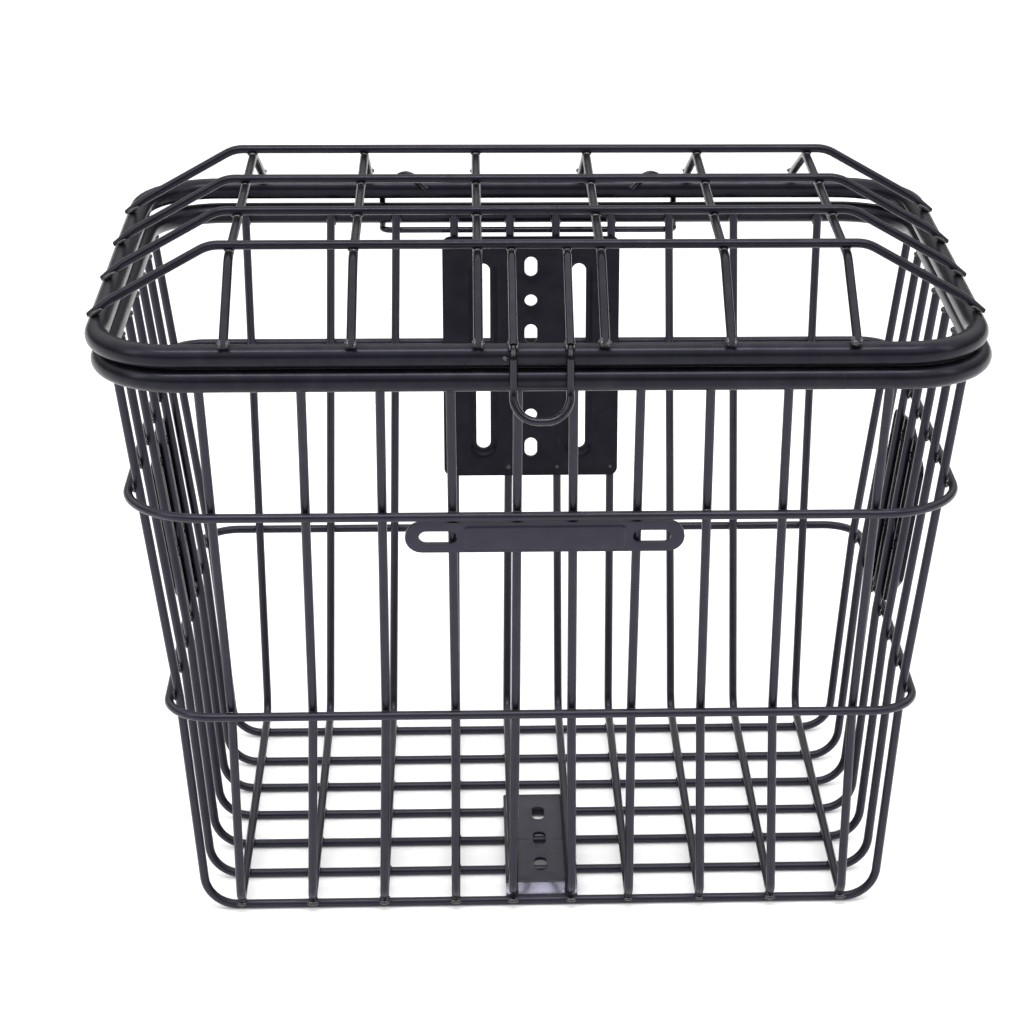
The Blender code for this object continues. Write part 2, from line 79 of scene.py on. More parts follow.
# Long wires: front wall, floor and rear wall; shares run from the centre pair to the outer pair
FOOT_SHARES = (0.097, 0.288, 0.526, 0.764, 1.0)
RIM_SHARES = (0.080, 0.275, 0.477, 0.704, 1.0)
OUTER_FOOT_INSET = 0.0157
OUTER_FRONT_INSET = 0.0411
OUTER_REAR_INSET = 0.0454
FOOT_BEND = 0.008
REAR_BEND = 0.010

# Lid
LID_SHIFT = -0.002
LID_FRONT_RISE = RIM_TUBE + GAP
LID_REAR_RISE = 0.0123
DOME_RISE = 0.035
SHOULDER_INSET = 0.047
LID_CROSS_WIRES = 4
LID_CROSS_FRONT_INSET = 0.0415
LID_CROSS_REAR_INSET = 0.0581
LID_CROSS_OVERHANG = 0.0015
LID_LONG_WIRES = 6
LID_LONG_INSET = 0.0085
LID_FRONT_BEND_INSET = 0.004
LID_REAR_BEND_INSET = 0.006
LID_BEND = 0.016
LID_REAR_TRIM = 0.0012

# Hinge wire
HINGE_OVERHANG = 0.0049
HINGE_DROP = 0.0078
HINGE_BEND = 0.004
HOOK_OUTER_SHARE = 0.540
HOOK_INNER_SHARE = 0.385
HOOK_START = math.radians(-20)
HOOK_END = math.radians(170)
HOOK_STEPS = 40

# Latch
LATCH_HALF_WIDTH = 0.01165
LATCH_LENGTH = 0.0248
LATCH_STRAIGHT = 0.015
LATCH_FLARE = 0.0045
LATCH_BEND = 0.010
LATCH_TOP = 0.0008

# Front plate
FRONT_PLATE_WIDTH = 0.119
FRONT_PLATE_HEIGHT = 0.0145
FRONT_SLOT_X = 0.0455
FRONT_SLOT = (0.0163, 0.0062)
FRONT_PANEL = (0.069, 0.0115)
FRONT_PANEL_CORNER = 0.0022
FRONT_PANEL_SLOPE = 0.0012
FRONT_PANEL_HEIGHT = 0.0006

# Rear mount plate
REAR_PLATE_WIDTH = 0.0868
REAR_PLATE_HEIGHT = 0.124
REAR_PLATE_CORNER = 0.004
REAR_PLATE_DROP = 0.0094
REAR_PLATE_SHIFT = -0.001
REAR_SLOT_X = 0.0236
REAR_SLOT = (0.0965, 0.007)
REAR_BOSS_MARGIN = 0.0046
REAR_BOSS_SLOPE = 0.0030
REAR_BOSS_HEIGHT = -0.0016
REAR_SPOT_INSET = 0.0045
REAR_HOLE_WIDTH = 0.0062
REAR_HOLES = ((0.047, 0.0102), (0.0297, REAR_HOLE_WIDTH), (0.0125, 0.010))

# Floor plate
FLOOR_PLATE_WIDTH = 0.033
FLOOR_PLATE_REAR = 0.0111
FLOOR_PLATE_FRONT = 0.010
FLOOR_STEP = 0.0037
FLOOR_CREASES = (-0.0245, -0.0640)
CREASE_DEPTH = 0.00018
FLOOR_HOLE = (0.013, 0.006)
FLOOR_HOLE_PITCH = 0.026
FIRST_FLOOR_HOLE = 0.020

# Side plates
SIDE_PLATE_WIDTH = 0.086
SIDE_TOP_MARGIN = 0.0088
SIDE_BOTTOM_MARGIN = 0.0054
SIDE_CROWN = 0.008
SIDE_TAPER_START = 0.26
SIDE_FOOT_WIDTH = 0.028
SIDE_PLATE_CORNER = 0.005
SIDE_SLOT = (0.036, 0.0065)
SIDE_SLOT_X = 0.028
SIDE_SLOT_LEAN = math.radians(58)
SIDE_LOW_SLOT = (0.014, 0.005)
SIDE_LOW_SLOT_HEIGHT = 0.020

# Smoothness
WIRE_SIDES = 14
TUBE_SIDES = 36
BEND_STEP = math.radians(6)
STRAIGHT_STEP = 0.006
SLOT_STEPS = 12
PRESS_STEPS = 6
EDGE_ROUND = 0.00025

# Derived places
RIM_X = (OVERALL_WIDTH - RIM_TUBE) / 2
RIM_Y = (OVERALL_DEPTH - RIM_TUBE) / 2
RIM_Z = BASKET_HEIGHT - RIM_TUBE / 2
CROSS_Z = WIRE / 2
LONG_Z = CROSS_Z + WIRE + GAP
UPPER_Z = RIM_Z - UPPER_RING_DROP
LOWER_Z = UPPER_Z - RING_SPACING
RIM_REACH = (RIM_TUBE + WIRE) / 2 + GAP
REAR_WALL_Y = RIM_Y - RIM_REACH
FOOT_Y = -(RIM_Y - FOOT_INSET_Y)
KINK_Y = -(RIM_Y - KINK_INSET_Y)
FLOOR_X = RIM_X - FLOOR_INSET_X
KINK_X = RIM_X - KINK_INSET_X
SIDE_TOP_X = RIM_X - SIDE_TOP_INSET
SIDE_LEAN = math.atan2(SIDE_TOP_X - KINK_X, RIM_Z - LOWER_Z)
LID_DEPTH = 2 * RIM_Y
LID_TILT = math.asin((LID_REAR_RISE - LID_FRONT_RISE) / LID_DEPTH)
HINGE_Z = RIM_Z + LID_REAR_RISE
LID_LONG_X = RIM_X - SHOULDER_INSET - LID_LONG_INSET
HINGE_HALF_WIDTH = (RIM_X - OUTER_REAR_INSET) * RIM_SHARES[2] + HINGE_OVERHANG
HOOK_OUTER_X = LID_LONG_X * HOOK_OUTER_SHARE
HOOK_INNER_X = LID_LONG_X * HOOK_INNER_SHARE
LATCH_REACH = (RIM_TUBE + LATCH_WIRE) / 2 + LATCH_PLAY

ACROSS = Vector((1, 0, 0))
BACK = Vector((0, 1, 0))
UP = Vector((0, 0, 1))
UPRIGHT = math.pi / 2

# Each body's own frame, with the parts drawn flat and the tilt put on last
LID_FRAME = Matrix.Translation((LID_SHIFT, RIM_Y, HINGE_Z)) @ Matrix.Rotation(LID_TILT, 4, "X")
FRAMES = {
    "basket": Matrix.Identity(4),
    "lid": LID_FRAME,
    "latch": LID_FRAME @ Matrix.Translation((0, -LID_DEPTH - LATCH_REACH, 0)),
}

# Weld beads: half length, half width, half height
CROSSING_BEAD = (0.0023, 0.0021, 0.0011)
RIM_END_BEAD = (0.0032, 0.0027, 0.0014)
FOOT_BEAD = (0.0021, 0.0011, 0.0010)
FOOT_END_BEAD = (0.0019, 0.0012, 0.0011)
FOOT_SPREAD = 0.0015
NOSE_BEAD = (0.0024, 0.0012, 0.0009)
HINGE_BEAD = (0.0034, 0.0022, 0.0012)
LID_SIDE_BEAD = (0.0036, 0.0010, 0.0010)
LEG_SIDE_BEAD = (0.0028, 0.0007, 0.0007)
LEG_TOP_BEAD = (0.0030, 0.0011, 0.0008)
STRAY_BEAD = (0.0019, 0.0011, 0.0009)
FRONT_PLATE_BEAD = (0.0040, 0.0019, 0.0008)
REAR_DIMPLE = (0.0011, 0.0011, 0.00035)
REAR_PLATE_BEAD = (0.0028, 0.0024, 0.0009)
SIDE_PLATE_BEAD = (0.0030, 0.0024, 0.0009)
FLOOR_PLATE_BEAD = (0.0030, 0.0022, 0.0009)
FLOOR_EDGE_BEAD = (0.0022, 0.0019, 0.0008)

# Flattened ends of the lid's cross wires
FLAT_LENGTH = 0.011
FLAT_TIP = 0.0035
FLAT_SINK = 0.0010
FLAT_THIN = 0.50
FLAT_WIDEN = 0.30
FLAT_TAPER = 0.40

# Powder coats by use: colour, roughness, second coat, depth of the orange peel, depth of the runs, gloss
COATS = {
    "tube_coat": ("tube", (0.0044, 0.0041, 0.0060), 0.30, 0.06, 0.000010, 0.00002, 0.24),
    "wire_coat": ("wire", (0.0058, 0.0053, 0.0082), 0.34, 0.08, 0.000012, 0.00003, 0.44),
    "lid_wire_coat": ("lid wire", (0.0048, 0.0044, 0.0066), 0.29, 0.08, 0.000012, 0.00003, 0.30),
    "plate_coat": ("front plate", (0.0078, 0.0074, 0.0110), 0.40, 0.06, 0.000010, 0.00001, 0.46),
    # Inner plates: the same black coat painted darker, as painted shade on faces turned away from the light.
    "inner_plate_painted_shade_coat": ("inner plates", (0.0040, 0.0037, 0.0056), 0.34, 0.03, 0.000010, 0.00001, 0.18),
    # Floor plate: the same black coat painted lighter, as a painted reflection of the light on its up-facing
    # face.
    "floor_plate_painted_light_coat": ("floor plate", (0.0125, 0.0118, 0.0165), 0.36, 0.12, 0.000012, 0.00002, 0.46),
    "latch_coat": ("latch", (0.0042, 0.0040, 0.0056), 0.17, 0.20, 0.000008, 0.00002, 0.36),
}

# Studio
TENT_TOP = 1.60
TENT_SIDE = 0.19
TENT_FADE = (0.12, 0.80)
PAPER_GLOW = 0.10
CAMERA_PLACE = Vector((-0.0324, -1.2970, 0.6670))
CAMERA_LENS = 105.42
CAMERA_SHIFT = -0.0992
CAMERA_YAW = -0.05183
CAMERA_PITCH = 0.37026
CAMERA_ROLL = 0.01134


# Shader building


class Value:
    """A shader socket that can stand in a sum."""

    def __init__(self, shader, socket):
        self.shader = shader
        self.socket = socket

    def math(self, operation, first, second):
        return self.shader.node("ShaderNodeMath", {"operation": operation}, {0: first, 1: second})

    def __add__(self, other):
        return self.math("ADD", self, other)

    def __radd__(self, other):
        return self.math("ADD", other, self)

    def __sub__(self, other):
        return self.math("SUBTRACT", self, other)

    def __rsub__(self, other):
        return self.math("SUBTRACT", other, self)

    def __mul__(self, other):
        return self.math("MULTIPLY", self, other)

    def __rmul__(self, other):
        return self.math("MULTIPLY", other, self)

    def clamped(self):
        return self.shader.node("ShaderNodeClamp", {}, {"Value": self})


class Shader:
    """The nodes of one material, ending in a Principled shader."""

    def __init__(self, name):
        self.material = bpy.data.materials.new(name)
        self.material.use_nodes = True
        self.tree = self.material.node_tree
        self.surface = self.tree.nodes["Principled BSDF"]

    def node(self, kind, settings, values, output=0):
        """Adds a node, sets it up, feeds its sockets and returns one of its outputs."""
        node = self.tree.nodes.new(kind)
        for key, value in settings.items():
            setattr(node, key, value)
        for key, value in values.items():
            self.feed(node.inputs[key], value)
        return Value(self, node.outputs[output])

    def feed(self, socket, value):
        if isinstance(value, Value):
            self.tree.links.new(value.socket, socket)
        else:
            socket.default_value = value

    def finish(self, values):
        for key, value in values.items():
            self.feed(self.surface.inputs[key], value)
        return self.material

    def place(self):
        """Object coordinates."""
        return self.node("ShaderNodeTexCoord", {}, {}, "Object")

    def noise(self, place, per_metre, detail=2.0, roughness=0.5):
        """Noise between 0 and 1, with its cell size given as cells to the metre."""
        values = {"Vector": place, "Scale": per_metre, "Detail": detail, "Roughness": roughness}
        return self.node("ShaderNodeTexNoise", {}, values, "Fac")

    def step(self, value, low, high):
        """0 below low, 1 above high, smooth between."""
        settings = {"interpolation_type": "SMOOTHSTEP"}
        return self.node("ShaderNodeMapRange", settings, {"Value": value, "From Min": low, "From Max": high})

    def mix(self, share, first, second):
        """Blend of two colours."""
        values = {0: share, 6: first, 7: second}
        return self.node("ShaderNodeMix", {"data_type": "RGBA"}, values, 2)

    def part(self, vector, axis):
        return self.node("ShaderNodeSeparateXYZ", {}, {"Vector": vector}, axis)

    def size(self, value):
        """The value without its sign."""
        return self.node("ShaderNodeMath", {"operation": "ABSOLUTE"}, {0: value})

    def bump(self, height):
        values = {"Strength": 1.0, "Distance": 1.0, "Height": height}
        return self.node("ShaderNodeBump", {}, values, "Normal")


def powder_coat(name, colour, roughness, coat, peel_depth, run_depth, gloss, creases=(), rubbed=None):
    """Black powder coat: orange peel, patches of thicker coat, fine grit, settled dust with a painted
    highlight on up-facing faces, and hairline scuffs.

    Creases are the places along Y where a pressed sheet is slightly kinked beside its slots.
    Rubbed is the place along Y of a bent edge whose coat is polished smooth.
    """
    shader = Shader(name)
    place = shader.place()
    patches = shader.noise(place, 26.0, 3.0)
    cloud = shader.noise(place, 140.0, 3.0)
    peel = shader.noise(place, 950.0, 2.0, 0.45)
    grit = shader.noise(place, 3600.0, 1.0)
    grains = shader.step(grit, 0.70, 0.78)
    brushed = {"Vector": place, "Scale": (1.0, 1.0, 0.06), "Rotation": (0.5, 0.3, 0.9)}
    scuff_field = shader.noise(shader.node("ShaderNodeMapping", {}, brushed), 1500.0, 1.0)
    scuff_patch = shader.step(patches, 0.56, 0.68)
    scuffs = shader.step(scuff_field, 0.66, 0.72) * scuff_patch
    up = shader.part(shader.node("ShaderNodeNewGeometry", {}, {}, "Normal"), "Z")
    # Up-facing faces in cloudy patches go paler and rougher: partly settled dust, partly a painted highlight
    # of the light from above.
    dust_and_top_sheen = shader.step(up, 0.55, 1.0) * shader.step(cloud, 0.38, 0.72)
    deep = tuple(c * 0.72 for c in colour) + (1.0,)
    bluish = (colour[0] * 1.15, colour[1] * 1.18, colour[2] * 1.32, 1.0)
    pale = (0.060, 0.059, 0.066, 1.0)
    base = shader.mix((patches * 0.6 + cloud * 0.4).clamped(), deep, bluish)
    base = shader.mix((dust_and_top_sheen * 0.07 + scuffs * 0.22 + grains * 0.10).clamped(), base, pale)
    height = peel * peel_depth + cloud * (peel_depth * 2.2 + run_depth) + grains * (peel_depth * 0.5)
    for crease in creases:
        height = height + crease_line(shader, place, crease) * CREASE_DEPTH
    rough = roughness + (patches - 0.5) * 0.10 + (cloud - 0.5) * 0.08 + dust_and_top_sheen * 0.08 + scuffs * 0.16
    if rubbed is not None:
        away = shader.size(shader.part(place, "Y") - rubbed)
        rough = rough - (1.0 - shader.step(away, 0.0022, 0.0030)) * 0.22
    return shader.finish({
        "Base Color": base,
        "Roughness": rough.clamped(),
        "Coat Weight": (coat + (cloud - 0.5) * 0.3).clamped(),
        "Coat Roughness": 0.16,
        "IOR": 1.48,
        "Specular IOR Level": gloss,
        "Specular Tint": (0.78, 0.76, 1.0, 1.0),
        "Normal": shader.bump(height),
    })


def crease_line(shader, place, along):
    """1 on a wavering line across the sheet, fading out over a millimetre and absent near the slot."""
    waver = (shader.noise(place, 90.0, 1.0) - 0.5) * 0.0022
    away = shader.size(shader.part(place, "Y") - along + waver)
    from_middle = shader.size(shader.part(place, "X"))
    return (1.0 - shader.step(away, 0.0, 0.0011)) * shader.step(from_middle, 0.0035, 0.0065)


def weld_coat(name):
    """Powder coat over a weld: lumpy, glossier, with pits."""
    shader = Shader(name)
    place = shader.place()
    lumps = shader.noise(place, 620.0, 3.0, 0.6)
    cells = {"Vector": place, "Scale": 1100.0, "Randomness": 1.0}
    pits = shader.node("ShaderNodeTexVoronoi", {"feature": "F1"}, cells, "Distance")
    pit_mask = 1.0 - shader.step(pits, 0.10, 0.28)
    # Colour follows the relief: raised lumps are painted lighter as a highlight, pits are painted darker as
    # shade.
    base = shader.mix(lumps, (0.005, 0.005, 0.006, 1.0), (0.019, 0.018, 0.023, 1.0))
    base = shader.mix(pit_mask * 0.7, base, (0.006, 0.006, 0.007, 1.0))
    height = lumps * 0.00022 - pit_mask * 0.00008
    return shader.finish({
        "Base Color": base,
        "Roughness": (0.19 + lumps * 0.16).clamped(),
        "Coat Weight": (0.3 + lumps * 0.4).clamped(),
        "Coat Roughness": 0.10,
        "IOR": 1.5,
        "Normal": shader.bump(height),
    })


# Geometry node trees


def new_tree(name, given, inputs, made):
    """A tree that is given a geometry, the named inputs and a coat, and makes one geometry."""
    tree = bpy.data.node_groups.new(name, "GeometryNodeTree")
    tree.interface.new_socket(given, in_out="INPUT", socket_type="NodeSocketGeometry")
    for label, value in inputs.items():
        kind = "NodeSocketInt" if isinstance(value, int) else "NodeSocketFloat"
        tree.interface.new_socket(label, in_out="INPUT", socket_type=kind).default_value = value
    tree.interface.new_socket("Coat", in_out="INPUT", socket_type="NodeSocketMaterial")
    tree.interface.new_socket(made, in_out="OUTPUT", socket_type="NodeSocketGeometry")
    return tree, tree.nodes.new("NodeGroupInput")


def add(tree, kind, settings, values):
    """Adds a node, sets it up and feeds its sockets; a pair of node and socket is a link."""
    node = tree.nodes.new(kind)
    for key, value in settings.items():
        setattr(node, key, value)
    for key, value in values.items():
        if isinstance(value, tuple) and hasattr(value[0], "outputs"):
            tree.links.new(value[0].outputs[value[1]], node.inputs[key])
        else:
            node.inputs[key].default_value = value
    return node


def wire_tree():
    """Round stock along a path: Diameter, Sides, a slight unevenness from bending, and the coat."""
    inputs = {
        "Diameter": WIRE, "Sides": WIRE_SIDES, "Unevenness": 0.0002, "Waves per metre": 14.0, "Seed": 1.0,
    }
    tree, given = new_tree("round stock", "Path", inputs, "Piece")
    noise = add(tree, "ShaderNodeTexNoise", {"noise_dimensions": "4D"}, {
        "W": (given, "Seed"), "Scale": (given, "Waves per metre"), "Detail": 1.0,
    })
    centred = add(tree, "ShaderNodeVectorMath", {"operation": "SUBTRACT"}, {
        0: (noise, "Color"), 1: Vector((0.5, 0.5, 0.5)),
    })
    sway = add(tree, "ShaderNodeVectorMath", {"operation": "SCALE"}, {
        0: (centred, 0), "Scale": (given, "Unevenness"),
    })
    moved = add(tree, "GeometryNodeSetPosition", {}, {"Geometry": (given, "Path"), "Offset": (sway, 0)})
    half = add(tree, "ShaderNodeMath", {"operation": "DIVIDE"}, {0: (given, "Diameter"), 1: 2.0})
    section = add(tree, "GeometryNodeCurvePrimitiveCircle", {}, {
        "Resolution": (given, "Sides"), "Radius": (half, 0),
    })
    swept = add(tree, "GeometryNodeCurveToMesh", {}, {
        "Curve": (moved, 0), "Profile Curve": (section, 0), "Fill Caps": True,
    })
    smooth = add(tree, "GeometryNodeSetShadeSmooth", {}, {0: (swept, 0), "Shade Smooth": True})
    real = add(tree, "GeometryNodeRealizeInstances", {}, {0: (smooth, 0)})
    coated = add(tree, "GeometryNodeSetMaterial", {}, {0: (real, 0), "Material": (given, "Coat")})
    add(tree, "NodeGroupOutput", {}, {0: (coated, 0)})
    return tree


def bead_tree():
    """A lumpy weld bead at every point, sized and turned by the point's own attributes."""
    inputs = {
        "Segments": 10, "Rings": 6, "Size spread": 0.18,
        "Lump height": 0.00035, "Lumps per metre": 420.0, "Seed": 7,
    }
    tree, given = new_tree("weld beads", "Places", inputs, "Beads")
    ball = add(tree, "GeometryNodeMeshUVSphere", {}, {
        "Segments": (given, "Segments"), "Rings": (given, "Rings"), "Radius": 1.0,
    })
    size = add(tree, "GeometryNodeInputNamedAttribute", {"data_type": "FLOAT_VECTOR"}, {"Name": "bead_size"})
    turn = add(tree, "GeometryNodeInputNamedAttribute", {"data_type": "FLOAT_VECTOR"}, {"Name": "bead_turn"})
    turned = add(tree, "FunctionNodeEulerToRotation", {}, {0: (turn, 0)})
    least = add(tree, "ShaderNodeMath", {"operation": "SUBTRACT"}, {0: 1.0, 1: (given, "Size spread")})
    most = add(tree, "ShaderNodeMath", {"operation": "ADD"}, {0: 1.0, 1: (given, "Size spread")})
    spread = add(tree, "FunctionNodeRandomValue", {"data_type": "FLOAT"}, {
        2: (least, 0), 3: (most, 0), "Seed": (given, "Seed"),
    })
    scale = add(tree, "ShaderNodeVectorMath", {"operation": "SCALE"}, {0: (size, 0), "Scale": (spread, 1)})
    placed = add(tree, "GeometryNodeInstanceOnPoints", {}, {
        "Points": (given, "Places"), "Instance": (ball, 0), "Rotation": (turned, 0), "Scale": (scale, 0),
    })
    real = add(tree, "GeometryNodeRealizeInstances", {}, {0: (placed, 0)})
    noise = add(tree, "ShaderNodeTexNoise", {}, {"Scale": (given, "Lumps per metre"), "Detail": 2.0})
    centred = add(tree, "ShaderNodeMath", {"operation": "SUBTRACT"}, {0: (noise, 0), 1: 0.5})
    lift = add(tree, "ShaderNodeMath", {"operation": "MULTIPLY"}, {
        0: (centred, 0), 1: (given, "Lump height"),
    })
    outward = tree.nodes.new("GeometryNodeInputNormal")
    push = add(tree, "ShaderNodeVectorMath", {"operation": "SCALE"}, {0: (outward, 0), "Scale": (lift, 0)})
    lumpy = add(tree, "GeometryNodeSetPosition", {}, {"Geometry": (real, 0), "Offset": (push, 0)})
    smooth = add(tree, "GeometryNodeSetShadeSmooth", {}, {0: (lumpy, 0), "Shade Smooth": True})
    coated = add(tree, "GeometryNodeSetMaterial", {}, {0: (smooth, 0), "Material": (given, "Coat")})
    add(tree, "NodeGroupOutput", {}, {0: (coated, 0)})
    return tree


def shown(name, data):
    """A new object in the scene."""
    obj = bpy.data.objects.new(name, data)
    bpy.context.scene.collection.objects.link(obj)
    return obj


def grown(obj, tree, values):
    """The plain mesh that a node tree makes from an object; the object itself is dropped."""
    modifier = obj.modifiers.new("grown", "NODES")
    modifier.node_group = tree
    for item in tree.interface.items_tree:
        if item.in_out == "INPUT" and item.name in values:
            modifier[item.identifier] = values[item.name]
    graph = bpy.context.evaluated_depsgraph_get()
    mesh = bpy.data.meshes.new_from_object(obj.evaluated_get(graph))
    name = obj.name
    obj.modifiers.remove(modifier)
    bpy.data.objects.remove(obj, do_unlink=True)
    return shown(name, mesh)


# Routes


def tangent(start, centre, reach, overlap, side):
    """End of a straight run from start that just passes a round section at centre, on the given side."""
    toward = centre - start
    length = math.sqrt(toward.length_squared - reach**2)
    turn = side * math.asin(reach / toward.length)
    direction = Matrix.Rotation(turn, 2) @ toward.normalized()
    return start + direction * (length + overlap)


def arc_at(before, corner, after, radius):
    """Points of the rounded corner between two straight runs."""
    inward = (before - corner).normalized()
    outward = (after - corner).normalized()
    turn = math.pi - inward.angle(outward)
    setback = radius * math.tan(turn / 2)
    centre = corner + (inward + outward).normalized() * (radius / math.cos(turn / 2))
    first = corner + inward * setback - centre
    across = (-inward - first * (-inward).dot(first) / first.length_squared).normalized() * radius
    count = max(1, math.ceil(turn / BEND_STEP))
    angles = [turn * k / count for k in range(count + 1)]
    return [centre + first * math.cos(a) + across * math.sin(a) for a in angles]


def rounded(corners, radii, closed=False):
    """A path through corners, each turned with its own radius; 0 leaves the corner as it is."""
    path = []
    count = len(corners)
    for k, (corner, radius) in enumerate(zip(corners, radii)):
        is_end = not closed and k in (0, count - 1)
        if is_end or radius == 0:
            path.append(corner)
        else:
            path.extend(arc_at(corners[k - 1], corner, corners[(k + 1) % count], radius))
    return path


def divided(path, closed):
    """The same path with its long straight runs cut into short steps."""
    points = []
    pairs = list(zip(path, path[1:])) + ([(path[-1], path[0])] if closed else [])
    for a, b in pairs:
        count = max(1, round((b - a).length / STRAIGHT_STEP))
        points += [a.lerp(b, k / count) for k in range(count)]
    return points if closed else points + [path[-1]]


def box_corners(width, height):
    x = width / 2
    y = height / 2
    return [Vector((-x, -y, 0)), Vector((x, -y, 0)), Vector((x, y, 0)), Vector((-x, y, 0))]


def rim_path(half_x, half_y, middle):
    corners = [p + middle for p in box_corners(2 * half_x, 2 * half_y)]
    return rounded(corners, [RIM_CORNER] * 4, closed=True)


def front_wall(z):
    """Y of the front wires' centre line above the lower ring."""
    start = Vector((KINK_Y, LOWER_Z))
    end = tangent(start, Vector((-RIM_Y, RIM_Z)), RIM_REACH, 0.0, -1)
    return start.x + (end.x - start.x) * (z - LOWER_Z) / (end.y - start.y)


def side_wall(z):
    """X of the side wires' centre line above the lower ring."""
    return KINK_X + (SIDE_TOP_X - KINK_X) * (z - LOWER_Z) / (RIM_Z - LOWER_Z)


FRONT_LEAN = math.atan2(front_wall(LOWER_Z) - front_wall(RIM_Z), RIM_Z - LOWER_Z)
FRONT_OUT = Vector((0, -math.cos(FRONT_LEAN), -math.sin(FRONT_LEAN)))


def side_out(side):
    """Square to a side wall, away from the basket."""
    return Vector((side * math.cos(SIDE_LEAN), 0, -math.sin(SIDE_LEAN)))


def at_height(low, high, z):
    """Point of a straight run at one height."""
    return low.lerp(high, (z - low.z) / (high.z - low.z))


def ease(share):
    """0 to 1 with a soft start and a soft end."""
    return share * share * (3 - 2 * share)


def cross_wire_places():
    """Y of each cross wire, front to back."""
    first = FOOT_Y + FIRST_CROSS_INSET
    last = REAR_WALL_Y - LAST_CROSS_INSET
    even = CROSS_WIRES - 2
    pitch = (last - LAST_CROSS_STEP - first) / even
    return [first + pitch * k for k in range(even + 1)] + [last]


def cross_wire_path(y):
    top = RIM_Z - RIM_TUBE / 2 - GAP - WIRE / 2 * math.tan(SIDE_LEAN)
    right = [Vector((FLOOR_X, y, CROSS_Z)), Vector((KINK_X, y, LOWER_Z)), Vector((side_wall(top), y, top))]
    left = [Vector((-p.x, y, p.z)) for p in reversed(right)]
    return rounded(left + right, [0, 0, CROSS_BEND, CROSS_BEND, 0, 0])


def long_wire_corners(foot_share, rim_share, floor_z):
    """Corners of one long wire on the +X side, from the front rim to the rear rim."""
    foot_x = (FLOOR_X - OUTER_FOOT_INSET) * foot_share
    kink_share = foot_share + (rim_share - foot_share) * LOWER_Z / RIM_Z
    kink_x = (FLOOR_X - OUTER_FOOT_INSET) * kink_share
    kink = Vector((KINK_Y, LOWER_Z))
    front = tangent(kink, Vector((-RIM_Y, RIM_Z)), RIM_REACH, 0.001, -1)
    return [
        Vector(((RIM_X - OUTER_FRONT_INSET) * rim_share, front.x, front.y)),
        Vector((kink_x, kink.x, kink.y)),
        Vector((foot_x, FOOT_Y, floor_z)),
        Vector((foot_x, REAR_WALL_Y, floor_z)),
        Vector(((RIM_X - OUTER_REAR_INSET) * rim_share, REAR_WALL_Y, RIM_Z + 0.001)),
    ]


def long_wires():
    """Corners of every long wire, left to right."""
    pairs = list(zip(FOOT_SHARES, RIM_SHARES))
    found = []
    for side, order in ((-1, reversed(pairs)), (1, pairs)):
        for foot_share, rim_share in order:
            on_plate = foot_share == min(FOOT_SHARES)
            floor_z = LONG_Z + (FLOOR_SHEET + GAP if on_plate else 0.0)
            corners = long_wire_corners(foot_share, rim_share, floor_z)
            found.append([Vector((side * p.x, p.y, p.z)) for p in corners])
    return found


def ring_path(z):
    """Ring round the outside of the wires at one height."""
    reach = WIRE + GAP
    bar_x = side_wall(z) + reach / math.cos(SIDE_LEAN)
    front = front_wall(z) - reach / math.cos(FRONT_LEAN)
    rear = REAR_WALL_Y + reach
    places = cross_wire_places()
    rise = (z - LOWER_Z) / (RIM_Z - LOWER_Z)
    foot_x = FLOOR_X - OUTER_FOOT_INSET
    front_x = foot_x + (RIM_X - OUTER_FRONT_INSET - foot_x) * rise
    rear_x = foot_x + (RIM_X - OUTER_REAR_INSET - foot_x) * z / RIM_Z
    half = WIRE / 2
    front_radius = min(places[0] - half - front, bar_x - front_x - half)
    rear_radius = min(rear - places[-1] - half, bar_x - rear_x - half)
    right = [Vector((bar_x, front, z)), Vector((bar_x, rear, z))]
    corners = [Vector((-bar_x, front, z)), *right, Vector((-bar_x, rear, z))]
    return rounded(corners, [front_radius, front_radius, rear_radius, rear_radius], closed=True)


def hinge_path():
    """Fixed wire under the rear rim whose two hooked ends hold the lid's rear tube."""
    bar_y = REAR_WALL_Y + (WIRE + HINGE_WIRE) / 2 + GAP
    bar_z = RIM_Z - HINGE_DROP
    hook = (RIM_TUBE + HINGE_WIRE) / 2 + HOOK_PLAY
    behind = RIM_Y + hook
    corners = [
        Vector((0, bar_y, bar_z)),
        Vector((HINGE_HALF_WIDTH, bar_y, bar_z)),
        Vector((HINGE_HALF_WIDTH, behind, bar_z)),
        Vector((HINGE_HALF_WIDTH, behind, (RIM_Z + HINGE_Z) / 2)),
        Vector((HOOK_OUTER_X, RIM_Y + hook * math.cos(HOOK_START), HINGE_Z + hook * math.sin(HOOK_START))),
    ]
    right = rounded(corners, [0, HINGE_BEND, HINGE_BEND, HINGE_BEND, 0])
    for k in range(1, HOOK_STEPS + 1):
        share = k / HOOK_STEPS
        angle = HOOK_START + (HOOK_END - HOOK_START) * share
        x = HOOK_OUTER_X + (HOOK_INNER_X - HOOK_OUTER_X) * share
        right.append(Vector((x, RIM_Y + hook * math.cos(angle), HINGE_Z + hook * math.sin(angle))))
    left = [Vector((-p.x, p.y, p.z)) for p in reversed(right[1:])]
    return [p + Vector((LID_SHIFT, 0, 0)) for p in left + right[1:]]


def lid_cross_places():
    front = LID_CROSS_FRONT_INSET - LID_DEPTH
    pitch = (LID_DEPTH - LID_CROSS_FRONT_INSET - LID_CROSS_REAR_INSET) / (LID_CROSS_WIRES - 1)
    return [front + pitch * k for k in range(LID_CROSS_WIRES)]


